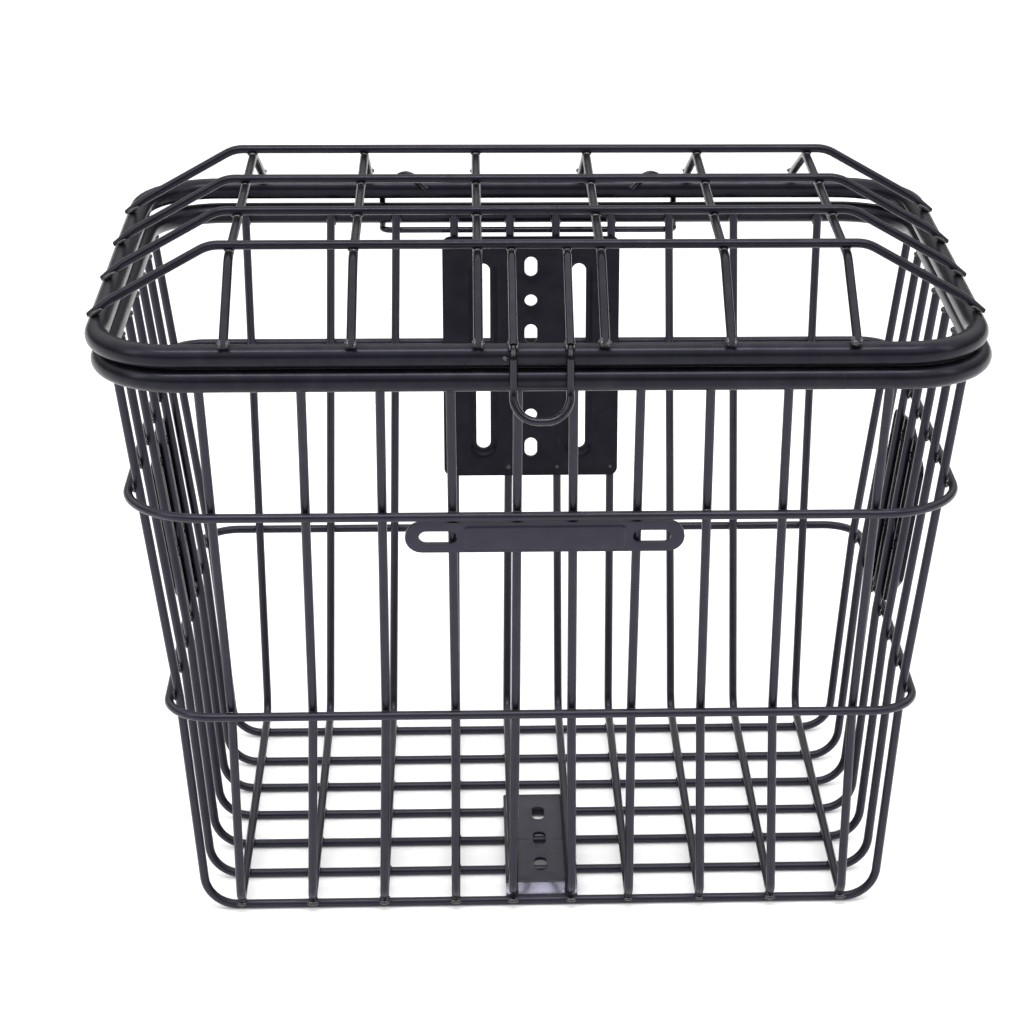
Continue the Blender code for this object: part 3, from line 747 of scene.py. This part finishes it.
def lid_cross_end():
    """Shoulder and end of a lid cross wire, in X and Z."""
    shoulder = Vector((RIM_X - SHOULDER_INSET, DOME_RISE))
    end = tangent(shoulder, Vector((RIM_X, 0)), RIM_REACH, LID_CROSS_OVERHANG, 1)
    return shoulder, end


def lid_cross_path(y):
    shoulder, end = lid_cross_end()
    right = [Vector((shoulder.x, y, shoulder.y)), Vector((end.x, y, end.y))]
    left = [Vector((-p.x, y, p.z)) for p in reversed(right)]
    return rounded(left + right, [0, LID_BEND, LID_BEND, 0])


def lid_long_corners(x):
    places = lid_cross_places()
    height = DOME_RISE - WIRE - GAP
    front = Vector((places[0] - LID_FRONT_BEND_INSET, height))
    rear = Vector((places[-1] + LID_REAR_BEND_INSET, height))
    front_end = tangent(front, Vector((-LID_DEPTH, 0)), RIM_REACH, 0.001, -1)
    rear_end = tangent(rear, Vector((0, 0)), RIM_REACH, 0.001, 1)
    return [Vector((x, p.x, p.y)) for p in (front_end, front, rear, rear_end)]


def lid_long_places():
    pitch = 2 * LID_LONG_X / (LID_LONG_WIRES - 1)
    return [pitch * k - LID_LONG_X for k in range(LID_LONG_WIRES)]


def latch_leg_path(x):
    cross_y = lid_cross_places()[0]
    height = DOME_RISE - (WIRE + LATCH_WIRE) / 2 - GAP
    start = Vector((cross_y + WIRE / 2, height))
    bend = Vector((cross_y - LID_FRONT_BEND_INSET, height))
    reach = (RIM_TUBE + LATCH_WIRE) / 2 + GAP
    end = tangent(bend, Vector((-LID_DEPTH, 0)), reach, 0.001, -1)
    return [Vector((x, p.x, p.y)) for p in (start, bend, end)]


def latch_loop_path():
    right = [
        Vector((LATCH_HALF_WIDTH, -LATCH_FLARE, -LATCH_LENGTH)),
        Vector((LATCH_HALF_WIDTH, 0, -LATCH_STRAIGHT)),
        Vector((LATCH_HALF_WIDTH, 0, LATCH_TOP)),
    ]
    left = [Vector((-p.x, p.y, p.z)) for p in reversed(right)]
    return rounded(left + right, [0, 0, LATCH_BEND, LATCH_BEND, 0, 0])


# Pieces


class Workshop:
    """The trees and coats that the pieces are made with."""

    def __init__(self):
        self.stock = wire_tree()
        self.beads = bead_tree()
        bend = cross_wire_places()[0] + FLOOR_PLATE_FRONT - FLOOR_STEP / 2
        kinked = {"floor_plate_painted_light_coat": (FLOOR_CREASES, bend)}
        self.coats = {}
        for key, (use, *finish) in COATS.items():
            name = f"glossy coat on {use}" if key == "latch_coat" else f"powder coat on {use}"
            self.coats[key] = powder_coat(name, *finish, *kinked.get(key, ()))
        self.weld = weld_coat("powder coat on welds")
        self.places = {"basket": [], "lid": []}
        self.chance = random.Random(11)

    def rod(self, node, coat, body, path, diameter, closed=False, sides=WIRE_SIDES, unevenness=0.0002):
        """Round stock along a path in its body's frame, in place of one plain node."""
        curve = bpy.data.curves.new(node + "_formed", "CURVE")
        curve.dimensions = "3D"
        curve.twist_mode = "MINIMUM"
        spline = curve.splines.new("POLY")
        points = divided(path, closed)
        spline.points.add(len(points) - 1)
        for point, place in zip(spline.points, points):
            point.co = (*(FRAMES[body] @ place), 1.0)
        spline.use_cyclic_u = closed
        piece = grown(shown(node + "_formed", curve), self.stock, {
            "Diameter": diameter,
            "Sides": sides,
            "Unevenness": unevenness,
            "Seed": self.chance.uniform(0.0, 50.0),
            "Coat": self.coats[coat],
        })
        fit(piece, node, body)
        return piece

    def bead(self, body, where, along, outward, size=CROSSING_BEAD):
        """Notes one weld bead in its body's frame: where it is, how it runs and faces, and its half sizes."""
        turned = FRAMES[body].to_3x3()
        x = (turned @ along).normalized()
        outward = turned @ outward
        z = (outward - x * outward.dot(x)).normalized()
        turn = Matrix((x, z.cross(x), z)).transposed().to_euler()
        self.places[body].append((FRAMES[body] @ where, tuple(turn), size))

    def foot(self, body, end, run, outward):
        """Two or three lumps round the end of a wire that is welded on a tube lying across the basket."""
        for side in (-1, 1):
            where = end + ACROSS * side * FOOT_SPREAD + run * self.chance.uniform(0.0002, 0.0016)
            self.bead(body, where, run, outward, FOOT_BEAD)
        if self.chance.random() < 0.6:
            where = end + run * 0.0016 + ACROSS * self.chance.uniform(-0.0010, 0.0010)
            self.bead(body, where, ACROSS, outward, FOOT_END_BEAD)

    def weld_all(self):
        """One mesh of beads for each body."""
        for body, places in self.places.items():
            mesh = bpy.data.meshes.new(f"{body}_welds")
            mesh.from_pydata([tuple(place) for place, _, _ in places], [], [])
            sizes = mesh.attributes.new("bead_size", "FLOAT_VECTOR", "POINT")
            turns = mesh.attributes.new("bead_turn", "FLOAT_VECTOR", "POINT")
            for k, (_, turn, size) in enumerate(places):
                sizes.data[k].vector = size
                turns.data[k].vector = turn
            piece = grown(shown(f"{body}_welds", mesh), self.beads, {"Coat": self.weld})
            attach(piece, body)


def fit(piece, node, body):
    """Hangs a finished piece on its body in place of a plain node."""
    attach(piece, body)
    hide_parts(node)


def make_rims(shop):
    basket = rim_path(RIM_X, RIM_Y, Vector((0, 0, RIM_Z)))
    shop.rod("basket_rim", "tube_coat", "basket", basket, RIM_TUBE, True, TUBE_SIDES, 0.0002)
    lid = rim_path(RIM_X, RIM_Y, Vector((0, -RIM_Y, 0)))
    shop.rod("lid_rim", "tube_coat", "lid", lid, RIM_TUBE, True, TUBE_SIDES, 0.0003)


def make_cross_wires(shop):
    """Cross wires with their welds to the rim and the rings."""
    top = RIM_Z - RIM_TUBE / 2 - GAP
    for k, y in enumerate(cross_wire_places(), start=1):
        shop.rod(f"cross_wire_{k}", "wire_coat", "basket", cross_wire_path(y), WIRE)
        for side in (-1, 1):
            end = Vector((side * side_wall(top), y, top - 0.0002))
            shop.bead("basket", end, BACK, UP, RIM_END_BEAD)
            out = side_out(side)
            for z in (UPPER_Z, LOWER_Z):
                where = Vector((side * side_wall(z), y, z)) + out * (WIRE + GAP) / 2
                shop.bead("basket", where, BACK, out)


def make_long_wires(shop):
    """Long wires with their welds to the rims, the rings and the cross wires."""
    for k, corners in enumerate(long_wires(), start=1):
        path = rounded(corners, [0, 0, FOOT_BEND, REAR_BEND, 0])
        shop.rod(f"long_wire_{k}", "wire_coat", "basket", path, WIRE)
        rim, kink, foot, heel, back = corners
        run = (rim - kink).normalized()
        shop.foot("basket", rim - run * 0.003 - BACK * 0.0016, run, -BACK)
        shop.foot("basket", back + Vector((0, 0.0014, -0.004)), UP, BACK)
        for z in (UPPER_Z, LOWER_Z):
            shop.bead("basket", at_height(kink, rim, z) + FRONT_OUT * (WIRE + GAP) / 2, ACROSS, FRONT_OUT)
            shop.bead("basket", at_height(heel, back, z) + BACK * (WIRE + GAP) / 2, ACROSS, BACK)
        nose = Vector((foot.x, FOOT_Y + 0.0012, CROSS_Z + WIRE / 2 + 0.0005))
        shop.bead("basket", nose, ACROSS, Vector((0, -0.5, 0.86)), NOSE_BEAD)
        on_plate = foot.z > LONG_Z + FLOOR_SHEET / 2
        for y in cross_wire_places():
            if on_plate and y < cross_wire_places()[CROSS_WIRES // 2] + FLOOR_PLATE_REAR:
                continue
            shop.bead("basket", Vector((foot.x, y, CROSS_Z + (WIRE + GAP) / 2)), ACROSS, UP)


def make_rings(shop):
    for name, z in (("upper_ring", UPPER_Z), ("lower_ring", LOWER_Z)):
        shop.rod(name, "wire_coat", "basket", ring_path(z), WIRE, closed=True)


def make_hinge(shop):
    """Hinge wire with its welds to the rear wires and to the basket's rim."""
    shop.rod("hinge_wire", "latch_coat", "basket", hinge_path(), HINGE_WIRE, unevenness=0.0001)
    bar_y = REAR_WALL_Y + (WIRE + HINGE_WIRE) / 2 + GAP
    bar_z = RIM_Z - HINGE_DROP
    for corners in long_wires():
        heel, back = corners[3], corners[4]
        x = heel.x + (back.x - heel.x) * bar_z / back.z
        if abs(x) < HINGE_HALF_WIDTH - HINGE_BEND:
            shop.bead("basket", Vector((x, (REAR_WALL_Y + bar_y) / 2 + WIRE / 4, bar_z)), ACROSS, BACK)
    for side in (-1, 1):
        where = Vector((side * HINGE_HALF_WIDTH + LID_SHIFT, RIM_Y + RIM_TUBE / 2 + 0.0002, RIM_Z - 0.001))
        shop.bead("basket", where, UP, BACK, HINGE_BEAD)


def flatten_end(piece, y, side):
    """Squashes one end of the lid cross wire at y against the side tube, as the electrode does."""
    shoulder, end = lid_cross_end()
    run = Vector((end.x - shoulder.x, 0, end.y - shoulder.y)).normalized()
    normal = Vector((-run.z, 0, run.x))
    end = Vector((end.x, 0, end.y))
    back = LID_FRAME.inverted()
    for vertex in piece.data.vertices:
        place = back @ vertex.co
        place.x *= side
        from_end = (end - place).dot(run)
        if place.x < shoulder.x or from_end > FLAT_LENGTH:
            continue
        share = ease(1.0 - max(0.0, from_end) / FLAT_LENGTH)
        tip = max(0.0, 1.0 - max(0.0, from_end) / FLAT_TIP)
        place -= normal * (place - end).dot(normal) * FLAT_THIN * share
        place -= normal * FLAT_SINK * share
        place.y = y + (place.y - y) * (1 + FLAT_WIDEN * share) * (1 - FLAT_TAPER * tip)
        place.x *= side
        vertex.co = LID_FRAME @ place


def make_lid_cross_wires(shop):
    """Lid cross wires, flattened where they are welded on the side tubes."""
    shoulder, end = lid_cross_end()
    run = Vector((end.x - shoulder.x, 0, end.y - shoulder.y)).normalized()
    for k, y in enumerate(lid_cross_places(), start=1):
        piece = shop.rod(f"lid_cross_wire_{k}", "lid_wire_coat", "lid", lid_cross_path(y), WIRE)
        for side in (-1, 1):
            flatten_end(piece, y, side)
            out = Vector((-side * run.z, 0, run.x))
            foot = Vector((side * (end.x - run.x * 0.004), y, end.y - run.z * 0.004)) - out * 0.0014
            along = Vector((side * run.x, 0, run.z))
            for across in (-1, 1):
                shop.bead("lid", foot + BACK * across * 0.0019, along, out, LID_SIDE_BEAD)


def make_lid_long_wires(shop):
    """Lid long wires with their welds to the cross wires and to the front and rear tubes."""
    for k, x in enumerate(lid_long_places(), start=1):
        corners = lid_long_corners(x)
        short = corners[3] + (corners[2] - corners[3]).normalized() * LID_REAR_TRIM
        path = rounded(corners[:3] + [short], [0, LID_BEND, LID_BEND, 0])
        shop.rod(f"lid_long_wire_{k}", "lid_wire_coat", "lid", path, WIRE)
        for end, bend, inward, back_off in (
            (corners[0], corners[1], BACK, 0.0016), (corners[3], corners[2], -BACK, 0.0044),
        ):
            run = (end - bend).normalized()
            out = (inward - run * inward.dot(run)).normalized()
            shop.foot("lid", end - run * back_off - out * 0.0008, run, out)
        for y in lid_cross_places():
            shop.bead("lid", Vector((x, y, DOME_RISE - (WIRE + GAP) / 2)), ACROSS, UP)


def make_latch(shop):
    """Latch legs and loop, with the bright welds on the lid's front tube."""
    level = LID_FRAME.to_3x3().inverted()
    front = -LID_DEPTH - RIM_TUBE / 2
    for name, side in (("latch_leg_left", -1), ("latch_leg_right", 1)):
        start, bend, end = latch_leg_path(side * LATCH_HALF_WIDTH)
        path = rounded([start, bend, end], [0, 0.003, 0])
        shop.rod(name, "latch_coat", "lid", path, LATCH_WIRE, unevenness=0.0001)
        run = (end - bend).normalized()
        out = Vector((0, run.z, -run.y))
        for beside in (-1, 1):
            shop.bead("lid", end - run * 0.0010 + ACROSS * beside * 0.0015, run, out, LEG_SIDE_BEAD)
        where = Vector((start.x, lid_cross_places()[0], DOME_RISE - WIRE / 2 - GAP / 2))
        shop.bead("lid", where, ACROSS, UP)
        over = Vector((side * LATCH_HALF_WIDTH, front - 0.0004, 0.0032))
        shop.bead("lid", over, level @ UP, level @ -BACK, LEG_TOP_BEAD)
    stray = Vector((-LATCH_HALF_WIDTH - 0.0032, front, 0.0002))
    shop.bead("lid", stray, level @ Vector((1, 0, -0.4)), level @ -BACK, STRAY_BEAD)
    shop.rod("latch_loop", "latch_coat", "latch", latch_loop_path(), LATCH_WIRE, unevenness=0.0001)


def obround(length, width, x=0.0, y=0.0, lean=0.0, margin=0.0):
    """Outline of a slot with round ends, grown outward by margin."""
    half = (length - width) / 2
    radius = width / 2 + margin
    angles = [math.pi * (k / SLOT_STEPS - 0.5) for k in range(SLOT_STEPS + 1)]
    end = [Vector((half + math.cos(a) * radius, math.sin(a) * radius, 0)) for a in angles]
    if half < width / 100:
        end = end[:-1]
    turned = Matrix.Translation((x, y, 0)) @ Matrix.Rotation(lean, 4, "Z")
    return [turned @ p for p in end] + [turned @ Vector((-p.x, -p.y, 0)) for p in end]


def pressed(outline_at, height):
    """Outlines up a pressed slope, outermost first, as (outline, height)."""
    shares = [k / PRESS_STEPS for k in range(PRESS_STEPS + 1)]
    return [(outline_at(share), height * ease(share)) for share in shares]


def pressed_slot(x):
    """The sunk oblong round a long slot of the rear plate, down to the slot's own edge."""
    def outline_at(share):
        return obround(*REAR_SLOT, x, 0.0, UPRIGHT, REAR_BOSS_MARGIN - REAR_BOSS_SLOPE * share)

    return pressed(outline_at, REAR_BOSS_HEIGHT) + [(obround(*REAR_SLOT, x, 0.0, UPRIGHT), REAR_BOSS_HEIGHT)]


def pressed_panel():
    """The raised panel of the front plate."""
    def outline_at(share):
        inset = 2 * FRONT_PANEL_SLOPE * share
        length, width = FRONT_PANEL
        radius = FRONT_PANEL_CORNER - inset / 2
        return rounded(box_corners(length - inset, width - inset), [radius] * 4, closed=True)

    return pressed(outline_at, FRONT_PANEL_HEIGHT)


def lifted(outline, height):
    return [Vector((p.x, p.y, height)) for p in outline]


def loop_of(shape, points):
    """Vertices and the closed chain of edges through points."""
    verts = [shape.verts.new(p) for p in points]
    edges = [shape.edges.new((a, b)) for a, b in zip(verts, verts[1:] + verts[:1])]
    return verts, edges


def pressed_mesh(outline, holes, presses):
    """A sheet's middle surface. A press is (outlines, filled): a raised area, closed or open inside."""
    shape = bmesh.new()
    flat_edges = loop_of(shape, outline)[1]
    for hole in holes:
        flat_edges += loop_of(shape, hole)[1]
    for rings, filled in presses:
        outer, edges = loop_of(shape, lifted(*rings[0]))
        flat_edges += edges
        for ring, height in rings[1:]:
            inner = [shape.verts.new(p) for p in lifted(ring, height)]
            count = len(inner)
            for k in range(count):
                after = (k + 1) % count
                shape.faces.new((outer[k], outer[after], inner[after], inner[k]))
            outer = inner
        if filled:
            shape.faces.new(outer)
    bmesh.ops.triangle_fill(shape, use_beauty=True, use_dissolve=False, edges=flat_edges)
    bmesh.ops.recalc_face_normals(shape, faces=shape.faces)
    return shape


def plate(shop, node, shape, thickness, where, coat):
    """A sheet of even thickness with its edges broken, in place of one plain node."""
    mesh = bpy.data.meshes.new(node + "_pressed")
    bmesh.ops.transform(shape, matrix=where, verts=shape.verts)
    shape.to_mesh(mesh)
    shape.free()
    obj = shown(node + "_pressed", mesh)
    wall = obj.modifiers.new("wall", "SOLIDIFY")
    wall.thickness = thickness
    wall.offset = 0.0
    wall.use_even_offset = True
    edge = obj.modifiers.new("edge", "BEVEL")
    edge.width = EDGE_ROUND
    edge.segments = 3
    edge.limit_method = "ANGLE"
    edge.angle_limit = math.radians(60)
    graph = bpy.context.evaluated_depsgraph_get()
    solid = bpy.data.meshes.new_from_object(obj.evaluated_get(graph))
    bpy.data.objects.remove(obj, do_unlink=True)
    solid.shade_smooth()
    solid.set_sharp_from_angle(angle=math.radians(32))
    solid.materials.clear()
    solid.materials.append(shop.coats[coat])
    fit(shown(node + "_pressed", solid), node, "basket")


def make_front_plate(shop):
    """Slotted bar on the front wall with a raised middle panel."""
    slots = [obround(*FRONT_SLOT, x=side * FRONT_SLOT_X) for side in (-1, 1)]
    shape = pressed_mesh(obround(FRONT_PLATE_WIDTH, FRONT_PLATE_HEIGHT), slots, [(pressed_panel(), True)])
    outward = (WIRE + SHEET) / 2 + GAP
    z = UPPER_Z - WIRE / 2 - GAP - FRONT_PLATE_HEIGHT / 2
    place = Vector((0, front_wall(z) - outward * math.cos(FRONT_LEAN), z - outward * math.sin(FRONT_LEAN)))
    where = Matrix.Translation(place) @ Matrix.Rotation(UPRIGHT + FRONT_LEAN, 4, "X")
    plate(shop, "front_plate", shape, SHEET, where, "plate_coat")
    for corners in long_wires():
        wire = at_height(corners[1], corners[0], z)
        if abs(wire.x) < FRONT_SLOT_X - FRONT_SLOT[0] / 2 - WIRE:
            shop.bead("basket", wire + FRONT_OUT * (WIRE + GAP) / 2, UP, FRONT_OUT, FRONT_PLATE_BEAD)


def make_rear_plate(shop):
    """Mounting plate: each long slot stands in a shallow pressed oblong, small holes run down the middle."""
    corners = box_corners(REAR_PLATE_WIDTH, REAR_PLATE_HEIGHT)
    outline = rounded(corners, [REAR_PLATE_CORNER] * 4, closed=True)
    holes = []
    for offset, height in REAR_HOLES:
        for side in (-1, 1):
            holes.append(obround(height, REAR_HOLE_WIDTH, y=side * offset, lean=UPRIGHT))
    presses = [(pressed_slot(side * REAR_SLOT_X), False) for side in (-1, 1)]
    shape = pressed_mesh(outline, holes, presses)
    y = REAR_WALL_Y - (WIRE + SHEET) / 2 - GAP
    z = RIM_Z - REAR_PLATE_DROP - REAR_PLATE_HEIGHT / 2
    where = Matrix.Translation((REAR_PLATE_SHIFT, y, z)) @ Matrix.Rotation(UPRIGHT, 4, "X")
    plate(shop, "rear_mount_plate", shape, SHEET, where, "inner_plate_painted_shade_coat")
    for corners in long_wires():
        heel, back = corners[3], corners[4]
        for edge in (-1, 1):
            height = z + edge * (REAR_PLATE_HEIGHT / 2 - REAR_SPOT_INSET)
            x = at_height(heel, back, height).x
            if abs(x) < REAR_PLATE_WIDTH / 2:
                shop.bead("basket", Vector((x, y - SHEET / 2, height)), ACROSS, -BACK, REAR_DIMPLE)
                joint = Vector((x, y + SHEET / 2 + 0.0002, height))
                shop.bead("basket", joint, UP, BACK, REAR_PLATE_BEAD)


def make_side_plates(shop):
    """Shield-shaped plates on the outside of the side wires."""
    top = UPPER_Z - SIDE_TOP_MARGIN
    bottom = LOWER_Z + SIDE_BOTTOM_MARGIN
    height = (top - bottom) / math.cos(SIDE_LEAN)
    right = [
        (SIDE_FOOT_WIDTH / 2, 0.0), (SIDE_PLATE_WIDTH / 2, height * SIDE_TAPER_START),
        (SIDE_PLATE_WIDTH / 2, height - SIDE_CROWN),
    ]
    corners = [Vector((x, y, 0)) for x, y in right]
    corners.append(Vector((0, height, 0)))
    corners += [Vector((-x, y, 0)) for x, y in reversed(right)]
    outline = rounded(corners, [SIDE_PLATE_CORNER] * len(corners), closed=True)
    slot_y = height * (1 + SIDE_TAPER_START) / 2 - SIDE_CROWN / 2
    places = cross_wire_places()
    middle = len(places) // 2
    outward = (WIRE + SHEET) / 2 + GAP
    for name, side in (("side_plate_left", -1), ("side_plate_right", 1)):
        holes = [obround(*SIDE_SLOT, x=s * SIDE_SLOT_X, y=slot_y, lean=s * SIDE_SLOT_LEAN) for s in (-1, 1)]
        holes.append(obround(*SIDE_LOW_SLOT, y=SIDE_LOW_SLOT_HEIGHT))
        place = Vector((
            side * (side_wall(bottom) + outward * math.cos(SIDE_LEAN)),
            (places[middle] + places[middle + 1]) / 2,
            bottom - outward * math.sin(SIDE_LEAN),
        ))
        turn = Matrix.Rotation(side * UPRIGHT, 4, "Z") @ Matrix.Rotation(UPRIGHT + SIDE_LEAN, 4, "X")
        where = Matrix.Translation(place) @ turn
        plate(shop, name, pressed_mesh(outline, holes, []), SHEET, where, "inner_plate_painted_shade_coat")
        out = side_out(side)
        for y in places:
            if abs(y - place.y) > SIDE_PLATE_WIDTH / 2 - 0.004:
                continue
            for share in (0.34, 0.86):
                z = bottom + (top - bottom) * share
                joint = Vector((side * side_wall(z), y, z)) + out * (WIRE / 2 + GAP / 2)
                shop.bead("basket", joint, UP, out, SIDE_PLATE_BEAD)


def make_floor_plate(shop):
    """Slotted strip under the centre pair of long wires, stepped down at its front."""
    places = cross_wire_places()
    rear = places[len(places) // 2] + FLOOR_PLATE_REAR
    front = places[0] + FLOOR_PLATE_FRONT
    lip = places[0] + WIRE / 2 + GAP
    middle_z = CROSS_Z + WIRE / 2 + GAP + FLOOR_SHEET / 2
    length = rear - front
    centre = (rear + front) / 2
    half = FLOOR_PLATE_WIDTH / 2
    outline = [Vector((-half, -length / 2, 0)), Vector((half, -length / 2, 0))]
    outline += rounded(
        [Vector((half, -length / 2, 0)), Vector((half, length / 2, 0)), Vector((-half, length / 2, 0)),
         Vector((-half, -length / 2, 0))], [0, 0.0015, 0.0015, 0]
    )[1:-1]
    holes = []
    for k in range(3):
        y = rear - FIRST_FLOOR_HOLE - FLOOR_HOLE_PITCH * k
        holes.append(obround(*FLOOR_HOLE, y=y - centre, lean=UPRIGHT))
    shape = pressed_mesh(outline, holes, [])
    shape.verts.ensure_lookup_table()
    down = FLOOR_STEP
    profile = rounded(
        [
            Vector((0, 0, 0)), Vector((0, -0.0001, 0)),
            Vector((0, -down * 1.2, -down)), Vector((0, lip - front, -down)),
        ],
        [0, 0, 0.0006, 0],
    )[1:]
    edge = [v for v in shape.verts if abs(v.co.y + length / 2) < 1e-7]
    edge.sort(key=lambda v: v.co.x)
    for step in profile:
        after = [shape.verts.new((v.co.x, step.y - length / 2, step.z)) for v in edge]
        for k in range(len(edge) - 1):
            shape.faces.new((edge[k], edge[k + 1], after[k + 1], after[k]))
        edge = after
    bmesh.ops.recalc_face_normals(shape, faces=shape.faces)
    where = Matrix.Translation((0, centre, middle_z))
    plate(shop, "floor_plate", shape, FLOOR_SHEET, where, "floor_plate_painted_light_coat")
    foot_x = (FLOOR_X - OUTER_FOOT_INSET) * min(FOOT_SHARES)
    top = middle_z + FLOOR_SHEET / 2
    for side in (-1, 1):
        for y in (rear - 0.003, places[2], places[1], front + 0.004):
            shop.bead("basket", Vector((side * foot_x, y, top + GAP / 2)), BACK, UP, FLOOR_PLATE_BEAD)
        for y in places[1:4]:
            joint = Vector((side * (half - 0.0015), y, CROSS_Z + WIRE / 2 + GAP / 2))
            shop.bead("basket", joint, BACK, UP, FLOOR_EDGE_BEAD)


# Studio


def make_floor():
    """Plain pale floor, seamless to the far edge."""
    shader = Shader("studio paper")
    fibres = shader.noise(shader.place(), 700.0, 3.0)
    clouds = shader.noise(shader.place(), 3.0, 2.0)
    share = (fibres * 0.5 + clouds * 0.5).clamped()
    base = shader.mix(share, (0.90, 0.90, 0.90, 1.0), (0.94, 0.94, 0.94, 1.0))
    material = shader.finish({
        "Base Color": base,
        "Roughness": (0.82 + fibres * 0.1).clamped(),
        "Emission Color": (1.0, 1.0, 1.0, 1.0),
        "Emission Strength": PAPER_GLOW,
    })
    shape = bmesh.new()
    bmesh.ops.create_grid(shape, x_segments=1, y_segments=1, size=9.0)
    mesh = bpy.data.meshes.new("studio_floor")
    shape.to_mesh(mesh)
    shape.free()
    mesh.materials.append(material)
    floor = shown("studio_floor", mesh)
    floor.location.z = -0.0002


def area_light(name, place, toward, size, power):
    light = bpy.data.lights.new(name, "AREA")
    light.shape = "RECTANGLE"
    light.size = size[0]
    light.size_y = size[1]
    light.energy = power
    obj = shown(name, light)
    obj.location = place
    obj.rotation_euler = (Vector(toward) - Vector(place)).to_track_quat("-Z", "Y").to_euler()


def make_lights():
    """A light tent, brightest overhead, with a strip above the front and a soft box at each side."""
    world = bpy.data.worlds.new("light tent")
    world.use_nodes = True
    tree = world.node_tree
    place = tree.nodes.new("ShaderNodeTexCoord")
    split = tree.nodes.new("ShaderNodeSeparateXYZ")
    rise = tree.nodes.new("ShaderNodeMapRange")
    rise.interpolation_type = "SMOOTHSTEP"
    limits = {"From Min": TENT_FADE[0], "From Max": TENT_FADE[1], "To Min": TENT_SIDE, "To Max": TENT_TOP}
    for key, value in limits.items():
        rise.inputs[key].default_value = value
    tree.links.new(place.outputs["Generated"], split.inputs[0])
    tree.links.new(split.outputs["Z"], rise.inputs["Value"])
    path = tree.nodes.new("ShaderNodeLightPath")
    paper = tree.nodes.new("ShaderNodeMath")
    paper.operation = "MAXIMUM"
    tree.links.new(rise.outputs[0], paper.inputs[0])
    tree.links.new(path.outputs["Is Camera Ray"], paper.inputs[1])
    tree.links.new(paper.outputs[0], tree.nodes["Background"].inputs["Strength"])
    tree.nodes["Background"].inputs["Color"].default_value = (1.0, 1.0, 1.0, 1.0)
    bpy.context.scene.world = world
    bpy.context.scene.view_settings.view_transform = "Standard"
    area_light("front strip", (0.0, -0.70, 1.80), (0.0, 0.0, 0.12), (1.5, 0.16), 15.0)
    area_light("left box", (-1.5, -0.9, 1.2), (0.0, 0.0, 0.15), (0.4, 1.2), 6.0)
    area_light("right box", (1.6, -0.8, 1.1), (0.0, 0.0, 0.15), (0.3, 1.2), 4.0)


def make_camera():
    """Long lens, high in front of the basket, looking down at it."""
    camera = bpy.data.cameras.new("camera")
    camera.sensor_width = 36.0
    camera.lens = CAMERA_LENS
    camera.shift_x = CAMERA_SHIFT
    camera.clip_start = 0.05
    turn = Matrix.Rotation(CAMERA_YAW, 4, "Z") @ Matrix.Rotation(UPRIGHT - CAMERA_PITCH, 4, "X")
    turn = turn @ Matrix.Rotation(CAMERA_ROLL, 4, "Z")
    obj = shown("camera", camera)
    obj.matrix_world = Matrix.Translation(CAMERA_PLACE) @ turn
    bpy.context.scene.camera = obj


def main():
    shop = Workshop()
    for make in (
        make_rims, make_cross_wires, make_long_wires, make_rings, make_front_plate, make_rear_plate,
        make_side_plates, make_floor_plate, make_hinge, make_lid_cross_wires, make_lid_long_wires, make_latch,
    ):
        make(shop)
    shop.weld_all()
    make_floor()
    make_lights()
    make_camera()


main()
